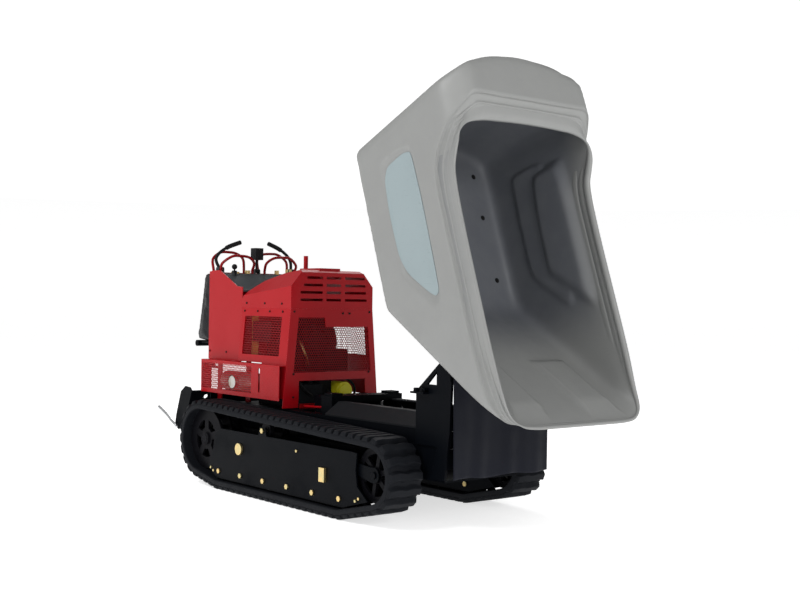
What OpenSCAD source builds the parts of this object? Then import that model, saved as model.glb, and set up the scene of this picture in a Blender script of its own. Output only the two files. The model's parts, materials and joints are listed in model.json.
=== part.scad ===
// Tracked power wheelbarrow: a rubber-tracked chassis with a walk-behind engine
// cover at the back and a tipping plastic tub at the front.
// Frame: +X towards the tub, +Y to the operator's left, +Z up, ground at z = 0.
// The tub is drawn tipped, resting on its stop. Units are millimetres.

/* [Tracks] */
// Width over both tracks
overall_w = 880; // [840:1:1060]
// Width of one rubber track
track_w = 170; // [150:1:205]
// Thickness of the belt without its tread
belt_t = 25; // [20:1:30]
// Height of the tread bars
tread_h = 18; // [12:1:22]
// Number of tread bars round one track
tread_count = 72; // [48:1:90]
// Distance between the drive sprocket and the front idler
wheelbase = 1336; // [1250:1:1500]
// Rolling radius of the drive sprocket
drive_r = 147; // [130:1:160]
// Rolling radius of the front idler
idler_r = 114; // [100:1:125]
// Radius of the track rollers
roller_r = 43; // [36:1:48]

/* [Chassis] */
// Height of the chassis rails above the ground
rail_top = 395; // [380:1:410]
// Distance of the tub pivot in front of the idler
pivot_ahead = 276; // [260:1:300]
// Height of the tub pivot above the ground
pivot_z = 662; // [650:1:680]
// Radius of the tub pivot pins
pivot_r = 14; // [10:1:17]

/* [Engine cover] */
// Width of the cover at its top seam
cover_w = 482; // [470:1:500]
// Height of the seam between hood and panels
seam_z = 866; // [850:1:880]
// Height of the hood top
hood_z = 1052; // [1030:1:1060]
// Thickness of the cover's steel sheet
sheet_t = 4; // [2.5:0.5:4]

/* [Tub] */
// Tipping angle of the tub
tilt = 71; // [55:1:76]
// Wall thickness of the tub
tub_wall = 9; // [7:0.5:12]
// Width of the tub at its rim, without the flange
tub_w = 784; // [660:1:860]
// Depth from the rim to the underside of the floor
tub_depth = 555; // [520:1:620]
// Length of the tub behind the pivot
tub_rear = 1020; // [960:1:1026]
// Reach of the chute lip in front of the pivot
lip_reach = 352; // [320:1:420]

/* [Platform] */
// Width of the operator platform
platform_w = 700; // [600:1:800]
// Length of the operator platform from its hinge
platform_l = 260; // [220:1:300]

/* [Hidden] */

roller_count = 6;                         // ground rollers on each side
eps = 0.01;
clear = 0.3;                              // gap between pieces of different bodies
run_fit = 0.05;                           // radial clearance of a turning fit
seat = 0.1;                               // clearance of a bolt in its hole

// ---- places that everything else is tied to ----
idler_x = 212;
drive_x = idler_x - wheelbase;
tread_out = belt_t + tread_h;
roller_z = roller_r + tread_out;
drive_z = 223;
idler_z = idler_r + 92;
pivot_x = idler_x + pivot_ahead;
track_y = overall_w / 2 - track_w / 2;    // middle of a track
plate_t = 8;
plate_out = track_w / 2 - 20;             // outer face of the frame plates, from the track's middle
rail_y = overall_w / 2 - track_w - 20;    // outer face of the chassis rails
rail_in = rail_y - 45;
rail_bot = 195;
rear_x = -1330;
nose_x = pivot_x - 20;
pan_top = rail_bot + plate_t;

// ---- the whole object's box, so that the origin is under its middle ----
flange_h = 12;
rim_h = 380;
x_front = pivot_x + lip_reach * cos(tilt) + rim_h * sin(tilt);
bar_reach = 230;
hinge_x = rear_x - 118;
hinge_z = 262;
x_rear = hinge_x - bar_reach;
x_shift = -(x_front + x_rear) / 2;

module place() translate([x_shift, 0, 0]) children();
module prism_x(x0, x1) translate([x0, 0, 0]) rotate([90, 0, 90]) linear_extrude(x1 - x0) children();
module prism_y(y0, y1) translate([0, y1, 0]) rotate([90, 0, 0]) linear_extrude(y1 - y0) children();
module rod_y(x, z, r, y0, y1, fn = 48) translate([x, y0, z]) rotate([-90, 0, 0]) cylinder(r = r, h = y1 - y0, $fn = fn);
module rod_x(y, z, r, x0, x1, fn = 48) translate([x0, y, z]) rotate([0, 90, 0]) cylinder(r = r, h = x1 - x0, $fn = fn);
module block(x0, x1, y0, y1, z0, z1) translate([x0, y0, z0]) cube([x1 - x0, y1 - y0, z1 - z0]);
module hex_y(x, z, r, y0, y1) translate([x, y0, z]) rotate([-90, 0, 0]) cylinder(r = r, h = y1 - y0, $fn = 6);
module both() { children(); mirror([0, 1, 0]) children(); }
function unit(v) = v / norm(v);
// smooth curve through the points, n steps between each pair
function curve_at(p, i, t) = let (a = p[max(i - 1, 0)], b = p[i], c = p[i + 1], d = p[min(i + 2, len(p) - 1)])
  0.5 * (2 * b + (c - a) * t + (2 * a - 5 * b + 4 * c - d) * t * t + (3 * b - a - 3 * c + d) * t * t * t);
function curve(p, n) = concat([for (i = [0 : len(p) - 2]) for (k = [0 : n - 1]) curve_at(p, i, k / n)], [p[len(p) - 1]]);
// round bar swept along a curve; side is a direction that the curve never runs along
module bent_bar(p, r, side, n = 4, sides = 12) {
  c = curve(p, n);
  m = len(c);
  last = len(p) - 1;
  rings = [for (i = [0 : m - 1]) let (t = unit(i == 0 ? p[1] - p[0] : i == m - 1 ? p[last] - p[last - 1] : c[i + 1] - c[i - 1]),
    u = unit(cross(side, t)), v = cross(t, u))
    for (k = [0 : sides - 1]) c[i] + r * (cos(360 * k / sides) * u + sin(360 * k / sides) * v)];
  walls = [for (i = [0 : m - 2]) for (k = [0 : sides - 1]) let (q = (k + 1) % sides)
    [i * sides + k, (i + 1) * sides + k, (i + 1) * sides + q, i * sides + q]];
  polyhedron(rings, concat([[for (k = [0 : sides - 1]) k]], walls, [[for (k = [sides - 1 : -1 : 0]) (m - 1) * sides + k]]));
}

// ======================= tracks =======================
// wheels that the belt runs round, as [x, z, radius], counter-clockwise from the sprocket
end_rear = drive_x + 168;
end_front = idler_x - 208;
roller_pitch = (end_front - end_rear) / (roller_count - 1);
wheels = [[drive_x, drive_z, drive_r], [end_rear, roller_z, roller_r],
          [end_front, roller_z, roller_r], [idler_x, idler_z, idler_r]];
function centre(i) = [wheels[i % 4][0], wheels[i % 4][1]];
function rad(i) = wheels[i % 4][2];
// outward normal of the straight run from wheel i to the next one
function run_normal(i) = let (d = centre(i + 1) - centre(i), l = norm(d), u = d / l, k = (rad(i) - rad(i + 1)) / l)
  k * u + sqrt(1 - k * k) * [u[1], -u[0]];
function run_start(i, off) = centre(i) + (rad(i) + off) * run_normal(i);
function run_end(i, off) = centre(i + 1) + (rad(i + 1) + off) * run_normal(i);
function angle_of(v) = atan2(v[1], v[0]);
function wrap_angle(i) = let (a = angle_of(run_normal(i + 1)) - angle_of(run_normal(i))) a < 0 ? a + 360 : a;
// the path's pieces: straight run 0, arc round wheel 1, straight run 1, arc round wheel 2, ...
function piece_len(k, off) = k % 2 == 0 ? norm(run_end(k / 2, off) - run_start(k / 2, off))
  : (rad((k + 1) / 2) + off) * wrap_angle((k - 1) / 2) * PI / 180;
function loop_len(off, k = 0) = k == 8 ? 0 : piece_len(k, off) + loop_len(off, k + 1);
// point and outward direction at distance s along the loop
function spot(s, off, k = 0) = s > piece_len(k, off) && k < 7 ? spot(s - piece_len(k, off), off, k + 1)
  : k % 2 == 0 ? let (i = k / 2, n = run_normal(i), t = [-n[1], n[0]]) [run_start(i, off) + s * t, angle_of(n)]
  : let (i = (k + 1) / 2, a = angle_of(run_normal((k - 1) / 2)) + s / (rad(i) + off) * 180 / PI)
    [centre(i) + (rad(i) + off) * [cos(a), sin(a)], a];

arc_steps = 5;                            // degrees between the belt's points where it bends
module belt_outline(off) polygon([for (i = [0 : 3]) let (sweep = wrap_angle(i), n = ceil(sweep / arc_steps), a0 = angle_of(run_normal(i)))
  for (k = [0 : n]) centre(i + 1) + (rad(i + 1) + off) * [cos(a0 + sweep * k / n), sin(a0 + sweep * k / n)]]);
module belt_bars(count, off, len, high)
  for (k = [0 : count - 1]) {
    p = spot(loop_len(off) * (k + 0.5) / count, off);
    translate(p[0]) rotate(p[1]) translate([-2, -len / 2]) square([high + 2, len]);
  }
lug_h = 24;
lug_w = 30;
module track(side) color([0.12, 0.13, 0.14]) place() translate([0, side * track_y, 0]) {
  prism_y(-track_w / 2, track_w / 2) {
    difference() { belt_outline(belt_t); belt_outline(0); }
    belt_bars(tread_count, belt_t, 24, tread_h);
  }
  prism_y(-lug_w / 2, lug_w / 2) for (k = [0 : tread_count / 2 - 1]) {
    p = spot(loop_len(0) * (k + 0.5) * 2 / tread_count, 0);
    translate(p[0]) rotate(p[1]) translate([-lug_h, -14]) polygon([[lug_h + 2, -5], [0, 3], [0, 25], [lug_h + 2, 33]]);
  }
}

rim_in = lug_w / 2 + 8;                   // inner side of every wheel rim, from the track's middle
rim_out = rim_in + 14;
wheel_gap = 0.6;                          // wheel to belt
module wheel_disc(r, ring, hub, arms, arm_w) {
  difference() { circle(r = r, $fn = 96); circle(r = ring, $fn = 72); }
  circle(r = hub, $fn = 48);
  for (k = [0 : arms - 1]) rotate(k * 360 / arms + 18) translate([0, -arm_w / 2]) square([ring + 4, arm_w]);
}
motor_r = 20;
module sprocket(side) color([0.10, 0.10, 0.11]) place() translate([0, side * track_y, 0]) difference() {
  union() {
    both() prism_y(rim_in, rim_out) translate([drive_x, drive_z])
      wheel_disc(drive_r - wheel_gap, drive_r - 56, 52, 5, 34);
    for (k = [0 : 9]) rod_y(drive_x + (drive_r - 42) * cos(36 * k), drive_z + (drive_r - 42) * sin(36 * k), 9, -rim_in, rim_in, 24);
    rod_y(drive_x, drive_z, 36, -rim_in, rim_in);
  }
  rod_y(drive_x, drive_z, motor_r + run_fit, -rim_out - 1, rim_out + 1, 64);
}
axle_r = 15;
module idler(side) color([0.11, 0.11, 0.12]) place() translate([0, side * track_y, 0]) difference() {
  union() {
    both() prism_y(rim_in, rim_out) translate([idler_x, idler_z])
      wheel_disc(idler_r - wheel_gap, idler_r - 28, 34, 6, 20);
    rod_y(idler_x, idler_z, 30, -rim_out, rim_out);
  }
  rod_y(idler_x, idler_z, axle_r + run_fit, -rim_out - 1, rim_out + 1, 64);
}
bolt_r = 10;
module plain_roller(x, z, r, side) color([0.13, 0.13, 0.14]) place() translate([0, side * track_y, 0]) difference() {
  union() {
    both() rod_y(x, z, r - wheel_gap, rim_in, rim_out + 8, 72);
    rod_y(x, z, min(18, r - lug_h - 1), -rim_in, rim_in, 48);
  }
  rod_y(x, z, bolt_r + run_fit, -rim_out - 9, rim_out + 9, 64);
}
function roller_x(k) = end_rear + roller_pitch * (k - 1);
carrier_x = drive_x + wheelbase * 0.405;
carrier_r = 38;
top_n = run_normal(3);
carrier_z = (run_start(3, 0)[1] + (carrier_x - run_start(3, 0)[0]) * (-top_n[0] / top_n[1])) - carrier_r / top_n[1];
module ground_roller(k, side) plain_roller(roller_x(k), roller_z, roller_r, side);
module carrier(side) plain_roller(carrier_x, carrier_z, carrier_r, side);

frame_top = 289;
module frame_plate() {
  difference() {
    polygon([[drive_x + 72, 96], [end_rear - 20, 52], [end_front + 20, 52], [idler_x - 18, 98],
      [idler_x - 88, 150], [idler_x - 100, 215], [idler_x - 92, frame_top - 2], [idler_x - 130, frame_top],
      [drive_x + 178, frame_top], [drive_x + 128, 262], [drive_x + 112, 190]]);
    for (k = [1 : roller_count]) translate([roller_x(k), roller_z]) circle(r = bolt_r + seat, $fn = 48);
  }
}
channel_in = plate_out - plate_t - 6;     // half-width inside the channel between the plates
carrier_lug = [[carrier_x - 34, frame_top - 6], [carrier_x + 34, frame_top - 6],
  [carrier_x + 22, carrier_z + 16], [carrier_x - 22, carrier_z + 16]];
module track_frame(side) color([0.09, 0.10, 0.11]) place() translate([0, side * track_y, 0]) {
  for (s = [-1, 1]) prism_y(s > 0 ? plate_out - plate_t : -plate_out, s > 0 ? plate_out : -plate_out + plate_t)
    difference() {
      union() { frame_plate(); polygon(carrier_lug); }
      translate([carrier_x, carrier_z]) circle(r = bolt_r + seat, $fn = 48);
    }
  difference() {
    block(drive_x + 190, idler_x - 132, -plate_out + plate_t, plate_out - plate_t, 186, 256);
    block(drive_x + 196, idler_x - 131, -channel_in, channel_in, 192, 257);
    rod_y(carrier_x, carrier_z, carrier_r + 6, -plate_out, plate_out);
  }
  // stub tubes that bolt to the chassis rail
  for (x = [drive_x + 300, idler_x - 300])
    rod_y(x, 222, 24, side > 0 ? -(track_y - rail_y) : plate_out, side > 0 ? -plate_out : track_y - rail_y);
}
head_t = 6;
module roller_axles() color([0.80, 0.62, 0.30]) place() for (side = [-1, 1]) translate([0, side * track_y, 0])
  for (k = [0 : roller_count]) {
    x = k == 0 ? carrier_x : roller_x(k);
    z = k == 0 ? carrier_z : roller_z;
    rod_y(x, z, bolt_r, -plate_out, plate_out, 64);
    for (s = [-1, 1]) hex_y(x, z, bolt_r * 1.25, s > 0 ? plate_out : -plate_out - head_t, s > 0 ? plate_out + head_t : -plate_out);
  }
// plated plug, grease block and stop bolts on the outer frame plates
module frame_plugs() color([0.72, 0.58, 0.34]) place() both() {
  y = track_y + plate_out;
  rod_y(drive_x + wheelbase * 0.262, 209, 27, y, y + 9);
  block(idler_x - 340, idler_x - 302, y, y + 12, 142, 202);
  for (p = [[idler_x - 96, 92], [idler_x - 74, 104], [drive_x + 98, 96], [drive_x + 122, 84], [idler_x - 520, 250]])
    rod_y(p[0], p[1], 6, y, y + 5, 24);
}
fork_y = rim_out + 4;
module idler_forks() color([0.13, 0.13, 0.14]) place() for (side = [-1, 1]) translate([0, side * track_y, 0]) {
  block(idler_x - 176, idler_x - 134, -channel_in, channel_in, 200, 250);
  for (s = [-1, 1]) prism_y(s > 0 ? fork_y : -fork_y - 8, s > 0 ? fork_y + 8 : -fork_y)
    union() {
      polygon([[idler_x - 136, 202], [idler_x - 136, 248], [idler_x - 20, idler_z + 30], [idler_x - 20, idler_z - 30]]);
      translate([idler_x, idler_z]) circle(r = 32, $fn = 48);
      polygon([[idler_x - 22, idler_z - 30], [idler_x, idler_z - 32], [idler_x, idler_z + 32], [idler_x - 22, idler_z + 30]]);
    }
  rod_y(idler_x, idler_z, axle_r, -fork_y - 14, fork_y + 14, 64);
}
module drive_motors() color([0.16, 0.16, 0.17]) place() for (side = [-1, 1]) {
  y_hub = track_y - rim_out - 4;
  y_cap = track_y + rim_out + 1;
  mirror([0, side > 0 ? 0 : 1, 0]) {
    rod_y(drive_x, drive_z, 46, rail_y, y_hub);
    rod_y(drive_x, drive_z, motor_r, y_hub - 1, y_cap + 11, 64);
    difference() {
      rod_y(drive_x, drive_z, 30, y_cap, y_cap + 9);
      for (k = [0 : 4]) rod_y(drive_x + 24 * cos(72 * k), drive_z + 24 * sin(72 * k), 3, y_cap + 5, y_cap + 10, 24);
    }
  }
}

// ======================= chassis =======================
tray_rear = -1120;
tray_front = -600;
module chassis_frame() color([0.08, 0.08, 0.09]) place() {
  both() prism_x(rear_x, nose_x) polygon([[rail_in, rail_bot], [rail_y, rail_bot], [rail_y, rail_top], [rail_in, rail_top],
    [rail_in, rail_top - 8], [rail_y - 8, rail_top - 8], [rail_y - 8, rail_bot + 8], [rail_in, rail_bot + 8]]);
  block(rear_x, nose_x, -rail_in - eps, rail_in + eps, rail_bot, pan_top);
  block(rear_x - 8, rear_x, -rail_y, rail_y, rail_bot, rail_top + 40);
  // tray under the engine, with a rib at each end
  block(tray_rear, tray_front, -rail_in - 1, rail_in + 1, rail_top - 8, rail_top);
  for (x = [tray_rear, tray_front - 12]) block(x, x + 12, -rail_in - 1, rail_in + 1, rail_top - 40, rail_top);
  // lift cylinder anchor
  translate([0, lift_y, 0]) for (s = [-1, 1]) prism_y(s > 0 ? 16 : -26, s > 0 ? 26 : -16) difference() {
    polygon([[anchor_x - 45, pan_top - 1], [anchor_x + 45, pan_top - 1], [anchor_x + 20, anchor_z + 22], [anchor_x - 20, anchor_z + 22]]);
    translate([anchor_x, anchor_z]) circle(r = eye_r + seat, $fn = 48);
  }
  // hinge ears for the operator platform
  for (y = [-170, -120, 120, 170]) prism_y(y - 5, y + 5) difference() {
    union() {
      polygon([[rear_x - 7, rail_bot + 10], [rear_x - 7, rail_bot + 110], [hinge_x, hinge_z + 18], [hinge_x, hinge_z - 18]]);
      translate([hinge_x, hinge_z]) circle(r = 18, $fn = 48);
    }
    translate([hinge_x, hinge_z]) circle(r = hinge_pin_r + seat, $fn = 48);
  }
}
upright_t = 12;
post_x = pivot_x - 62;
module front_upright() color([0.07, 0.07, 0.08]) place() {
  for (s = [-1, 1]) prism_y(s > 0 ? rail_y : -rail_y - upright_t, s > 0 ? rail_y + upright_t : -rail_y) difference() {
    union() {
      polygon([[post_x - 126, rail_top - 60], [post_x - 126, 548], [post_x + 24, pivot_z + 13], [post_x + 62, pivot_z + 38],
        [post_x + 86, pivot_z - 30], [post_x + 78, rail_top], [post_x + 50, 205], [post_x - 30, 205], [post_x + 6, rail_top - 60]]);
      translate([pivot_x, pivot_z]) circle(r = 38, $fn = 64);
    }
    polygon([[post_x - 60, 578], [post_x - 2, 578], [post_x - 2, 634]]);
    translate([pivot_x, pivot_z]) circle(r = pivot_r + run_fit, $fn = 64);
  }
  rod_y(post_x + 34, pivot_z - 62, 22, -rail_y, rail_y);
  block(post_x + 56, post_x + 64, -rail_y - upright_t, rail_y + upright_t, 250, 330);
  // clamps with their bolts beside the braces
  both() for (x = [post_x - 104, post_x - 66]) translate([x, rail_y + upright_t + 16, 548]) cylinder(r = 13, h = 14, $fn = 6);
  both() block(post_x - 126, post_x - 46, rail_y + upright_t - 1, rail_y + upright_t + 32, 540, 548);
  // apron bar
  block(post_x + 80, post_x + 88, -rail_y - 20, rail_y + 20, 596, 626);
}
rest_x = -430;
module tub_rest() color([0.08, 0.08, 0.09]) place() {
  both() block(rest_x, rest_x + 80, rail_in - 50, rail_in, pan_top, tub_low - 42);
  block(rest_x, rest_x + 80, -rail_in, rail_in, tub_low - 42, tub_low - 12);
  both() block(rest_x + 10, rest_x + 70, rail_in - 70, rail_in - 10, tub_low - 12, tub_low - 1);
}
module hydraulic_tank() color([0.09, 0.09, 0.10]) place() {
  difference() {
    block(-560, rest_x - 10, -150, 150, pan_top, rail_top + 70);
    block(-554, rest_x - 16, -144, 144, pan_top + 6, rail_top + 64);
    translate([-500, 70, rail_top + 50]) cylinder(r = 24, h = 40, $fn = 48);
  }
  translate([-500, 70, rail_top + 64]) cylinder(r = 24, h = 8, $fn = 48);
}
// folded plates over the hoses between the tub rest and the upright
module deck_guard() color([0.17, 0.18, 0.19]) place() both()
  prism_x(rest_x + 90, post_x - 140) polygon([[rail_in, rail_top], [rail_y - 2, rail_top], [rail_y - 2, rail_top + 6],
    [rail_in - 30, rail_top + 58], [rail_in - 70, rail_top + 58], [rail_in - 70, rail_top + 52], [rail_in - 32, rail_top + 52],
    [rail_in, rail_top + 12]]);

// ======================= engine bay =======================
bay_floor = rail_top;
front_x = -631;
engine_x = -900;
engine_y = -20;
engine_face = engine_x + 90;
muffler_y = -232;
module engine_block() color([0.10, 0.10, 0.11]) place() {
  block(engine_x - 120, engine_x + 110, engine_y - 140, engine_y + 150, bay_floor, bay_floor + 40);
  block(engine_x - 100, engine_face, engine_y - 110, engine_y + 120, bay_floor + 40, 700);
  rod_y(-950, 500, 14, muffler_y + 48, engine_y - 109, 32);
  for (k = [0 : 5]) block(engine_x - 80, engine_x + 60, engine_y + 118, engine_y + 165, 560 + k * 20, 568 + k * 20);
  block(engine_x - 90, engine_x + 70, engine_y - 200, engine_y - 20, 700, 800);
  rod_x(engine_y + 70, 745, 46, engine_x - 70, engine_x + 60);
}
blower_y = -39;
blower_z = 700;
module engine_blower() color([0.13, 0.13, 0.14]) place() difference() {
  union() {
    rod_x(blower_y, blower_z, 142, engine_face, engine_x + 165, 72);
    rod_x(blower_y, blower_z, 88, engine_x + 165, engine_x + 196, 72);
    block(engine_face, engine_x + 160, blower_y - 120, blower_y + 215, 560, 668);
  }
  for (a = [0 : 30 : 330])
    rod_x(blower_y + 64 * cos(a), blower_z + 64 * sin(a), 9, engine_x + 180, engine_x + 197, 24);
}
module muffler() color([0.62, 0.60, 0.57]) place() {
  rod_x(muffler_y, 500, 48, -1190, -870, 64);
  rod_y(-1050, 500, 30, muffler_y - 66, muffler_y - 40);
}
module hydraulic_pump() color([0.30, 0.31, 0.33]) place() {
  block(engine_x - 190, engine_x - 100, engine_y - 60, engine_y + 60, bay_floor + 60, 560);
  rod_x(engine_y, 520, 42, engine_x - 250, engine_x - 190);
}
module hydraulic_filter() color([0.82, 0.78, 0.15]) place() {
  rod_x(96, 467, 46, -745, -656, 64);
  rod_x(96, 467, 34, -656, -650, 64);
  block(engine_face, -745, 60, 132, 440, 500);
}
module battery() color([0.07, 0.07, 0.08]) place() {
  block(-770, -672, -175, -25, bay_floor, 505);
  for (y = [-150, -60]) translate([-720, y, 505]) cylinder(r = 9, h = 16, $fn = 32);
  block(-762, -700, -14, 46, bay_floor, 522);
}

// ======================= engine cover =======================
half_w = cover_w / 2;
flare = 37;                               // how far the panels lean out, down to the leg height
leg_z = 433;
function lean(z) = half_w + flare * (seam_z - z) / (seam_z - leg_z);
module front_panel() color([0.72, 0.09, 0.11]) place() prism_x(front_x - sheet_t, front_x) difference() {
  polygon([[-lean(402), 402], [-192, 402], [-192, 434], [206, 434], [206, 433], [lean(433), 433],
    [half_w, seam_z], [-half_w, seam_z]]);
  polygon([[-222, 566], [235, 566], [215, 779], [-40, 779], [-46, 824], [-196, 824]]);
  polygon([[-192, 401], [-190, 527], [200, 527], [206, 434], [206, 401]]);
}
module front_bay() { front_panel(); color([0.72, 0.09, 0.11]) place() tray_flange(); }
cowl_front = -1056;
module side_sheet() prism_x(cowl_front + 1, front_x - sheet_t) polygon([[lean(445) - sheet_t, 445], [lean(445), 445],
  [half_w, seam_z], [half_w - sheet_t, seam_z]]);
module side_panels() color([0.72, 0.09, 0.11]) place() difference() {
  both() difference() {
    side_sheet();
    prism_y(half_w - 20, half_w + 60) polygon([[-1022, 640], [-700, 640], [-700, 825], [-1022, 825]]);
  }
  // room for the muffler behind its guard
  block(cowl_front, -840, guard_y, 0, 440, 604);
}
// red front flange of the engine tray
module tray_flange() block(tray_front - 60, tray_front - 56, -166, 232, rail_top, rail_top + 22);
mesh_t = 1.5;
module cover_mesh() color([0.60, 0.08, 0.10]) place() {
  prism_x(front_x - sheet_t - mesh_t, front_x - sheet_t)
    polygon([[-228, 556], [242, 556], [222, 789], [-30, 789], [-30, 834], [-204, 834]]);
  both() prism_x(-1034, -688) polygon([[lean(628) - sheet_t - mesh_t, 628], [lean(628) - sheet_t, 628],
    [lean(837) - sheet_t, 837], [lean(837) - sheet_t - mesh_t, 837]]);
}
// cross-section of the hood; its shoulders fall a little towards the back
shoulder = 79;                            // drop from the hood top to its shoulders
ridge_y = 172;
hood_fall = 6.5;
module hood_section(t) polygon([[half_w - t, -400], [half_w - t, -shoulder - t * 0.6], [ridge_y - t * 0.6, -t], [-ridge_y + t * 0.6, -t],
  [-half_w + t, -shoulder - t * 0.6], [-half_w + t, -400]]);
module hood_profile(t) polygon([[cowl_front + t, seam_z - (t > 0 ? 1 : 0)], [cowl_front + t, hood_z - 142 - t], [cowl_front + 30, hood_z - 104 - t],
  [-935, hood_z - 54 - t], [-790, hood_z - 19 - t], [front_x - 28, hood_z - t], [front_x - t, hood_z - 14 - t], [front_x - t, seam_z - (t > 0 ? 1 : 0)]]);
module hood_solid(t) intersection() {
  translate([front_x, 0, hood_z]) rotate([0, -hood_fall, 0]) prism_x(-600, 100) hood_section(t);
  prism_y(-half_w - 1, half_w + 1) hood_profile(t);
}
module hood() color([0.74, 0.09, 0.11]) place() {
  difference() {
    hood_solid(0);
    hood_solid(sheet_t);
    // four rows of slots in the front
    for (row = [0 : 3]) for (c = [[-150 - 19 * min(row, 2), -60], [-38, 48], [72, 190 + 5 * row]])
      block(front_x - 20, front_x + 1, c[0], c[1], 902 + (3 - row) * 35, 914 + (3 - row) * 35);
    block(cowl_front - 1, cowl_front + sheet_t + 1, -half_w + 30, half_w - 30, seam_z - 2, hood_z - 150);
  }
  // raised lid and rubber-covered stop on the hood top
  block(-825, front_x - 26, -60, 60, hood_z - 40, hood_z + 8);
  translate([-861, 0, hood_z - 42]) cylinder(r = 11, h = 114, $fn = 32);
}
cowl_rear = -1375;
cheek = [[cowl_rear, 600], [cowl_rear, 1046], [-1330, 1052], [-1274, 1052], [-1106, 971], [cowl_front, 966], [cowl_front, 600]];
module rear_cowl() color([0.73, 0.09, 0.11]) place() {
  both() prism_y(half_w - sheet_t, half_w) polygon(cheek);
  block(cowl_rear, cowl_rear + sheet_t, -half_w + sheet_t, half_w - sheet_t, 600, 1044);
  for (s = [-1, 1]) block(cowl_rear, cowl_front, s > 0 ? half_w - 75 : -half_w + sheet_t, s > 0 ? half_w - sheet_t : -half_w + 75, 600, 604);
  // uprights that stand on the chassis
  both() block(cowl_rear + 45, cowl_rear + 85, rail_in, rail_in + 6, rail_top, 600);
  both() block(cowl_front - 60, cowl_front - 20, rail_in - 35, rail_in - 29, rail_top, 600);
}
guard_y = -300;
module muffler_guard() color([0.70, 0.09, 0.11]) place() difference() {
  union() {
    block(-1344, front_x - sheet_t, guard_y, guard_y + sheet_t, 437, 600);
    block(-1344, cowl_front, guard_y + sheet_t, -half_w - clear, 596, 600);
    block(cowl_front, front_x - sheet_t, guard_y + sheet_t, -lean(596) - clear, 596, 600);
    block(-1344, -1340, guard_y + sheet_t, -half_w - clear, 437, 596);
    block(-1344, front_x - 60, guard_y + sheet_t, -lean(445) - 1, 437, 441);
  }
  rod_y(-1050, 500, 34, guard_y - 1, guard_y + sheet_t + 1);
  block(-812, -798, guard_y - 1, guard_y + sheet_t + 1, 472, 574);
  rod_y(-805, 574, 7, guard_y - 1, guard_y + sheet_t + 1, 32);
  rod_y(-805, 472, 7, guard_y - 1, guard_y + sheet_t + 1, 32);
}

// ======================= console =======================
panel_y = half_w - sheet_t - 0.5;
panel_z = 1038;                           // flat top of the console
// small ears that carry a lever's pin; reach is the half-gap between them
module ears(x, y, z, foot, r, pin, reach) for (s = [-1, 1])
  prism_y(s > 0 ? y + reach : y - reach - 5, s > 0 ? y + reach + 5 : y - reach) difference() {
    union() {
      translate([x - r, foot]) square([2 * r, z - foot]);
      translate([x, z]) circle(r = r, $fn = 32);
    }
    translate([x, z]) circle(r = pin + run_fit, $fn = 32);
  }
module control_panel() color([0.42, 0.45, 0.46]) place() {
  prism_y(-panel_y, panel_y)
    polygon([[cowl_rear + sheet_t + 1, panel_z - 8], [cowl_rear + sheet_t + 1, panel_z], [-1274, panel_z], [-1106, 957],
      [cowl_front - 1, 952], [cowl_front - 1, 944], [-1108, 949], [-1276, panel_z - 8]]);
  for (s = [-1, 1]) ears(lever_x, s * lever_y, lever_z, panel_z - 2, 12, lever_pin, 12.8);
  ears(dump_x, 0, dump_z, panel_z - 2, 11, lever_pin, 12.3);
  ears(throttle_x, throttle_y, throttle_z, 1023, 8, 3, 6.3);
}
hoop_r = 7;
module hoop(x0, x1, y0, y1, z1) bent_bar([[x0, y0, panel_z], [x0, y0, panel_z + 9], [x0, y0, panel_z + 18],
  [x0 + (x1 - x0) * 0.5, y0, z1 - 40],
  [x1, y0 + (y1 - y0) * 0.25, z1 - 5], [x1, y0 + (y1 - y0) * 0.5, z1], [x1, y0 + (y1 - y0) * 0.8, z1 - 6],
  [x0 + (x1 - x0) * 0.6, y1, z1 - 34], [x0, y1, panel_z + 18], [x0, y1, panel_z + 9], [x0, y1, panel_z]],
  hoop_r, [1, 0, 0]);
module guard_hoops() color([0.70, 0.10, 0.14]) place() both() {
  hoop(-1290, -1262, 226, 38, 1128);
  hoop(-1362, -1380, 226, 44, 1150);
}
module console_fittings() color([0.66, 0.56, 0.36]) place() {
  // key switch, choke knob, meter and brass hose fittings
  translate([-1300, -60, panel_z]) cylinder(r = 14, h = 18, $fn = 32);
  translate([-1300, 120, panel_z]) cylinder(r = 12, h = 22, $fn = 32);
  translate([-1340, -110, panel_z]) cylinder(r = 22, h = 10, $fn = 48);
  for (y = [176, 200]) translate([-1290, y, panel_z]) cylinder(r = 7, h = 30, $fn = 24);
}
module thigh_pad() color([0.06, 0.06, 0.07]) place() prism_y(-half_w + 4, half_w - 4)
  polygon([[cowl_rear - 8 - clear, 690], [cowl_rear - 8 - clear, 1030], [cowl_rear - 30, 1046], [cowl_rear - 62, 1042], [cowl_rear - 76, 1020],
    [cowl_rear - 140, 720], [cowl_rear - 130, 690]]);
module pad_bracket() color([0.09, 0.09, 0.10]) place() {
  block(cowl_rear - 8, cowl_rear - clear, -half_w + 20, half_w - 20, 640, 1010);
  block(cowl_rear - 130, cowl_rear - 7, -half_w + 20, half_w - 20, 675, 681);
  rod_y(cowl_rear - 138, 690 - 16, 16, -half_w + 10, half_w - 10);
  both() block(cowl_rear - 60, cowl_rear - 30, half_w - 60, half_w - 40, 560, 675);
  both() block(cowl_rear - 60, cowl_rear + 45, half_w - 60, rail_in + 6, 552, 560);
}
screw_r = 5;
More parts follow.
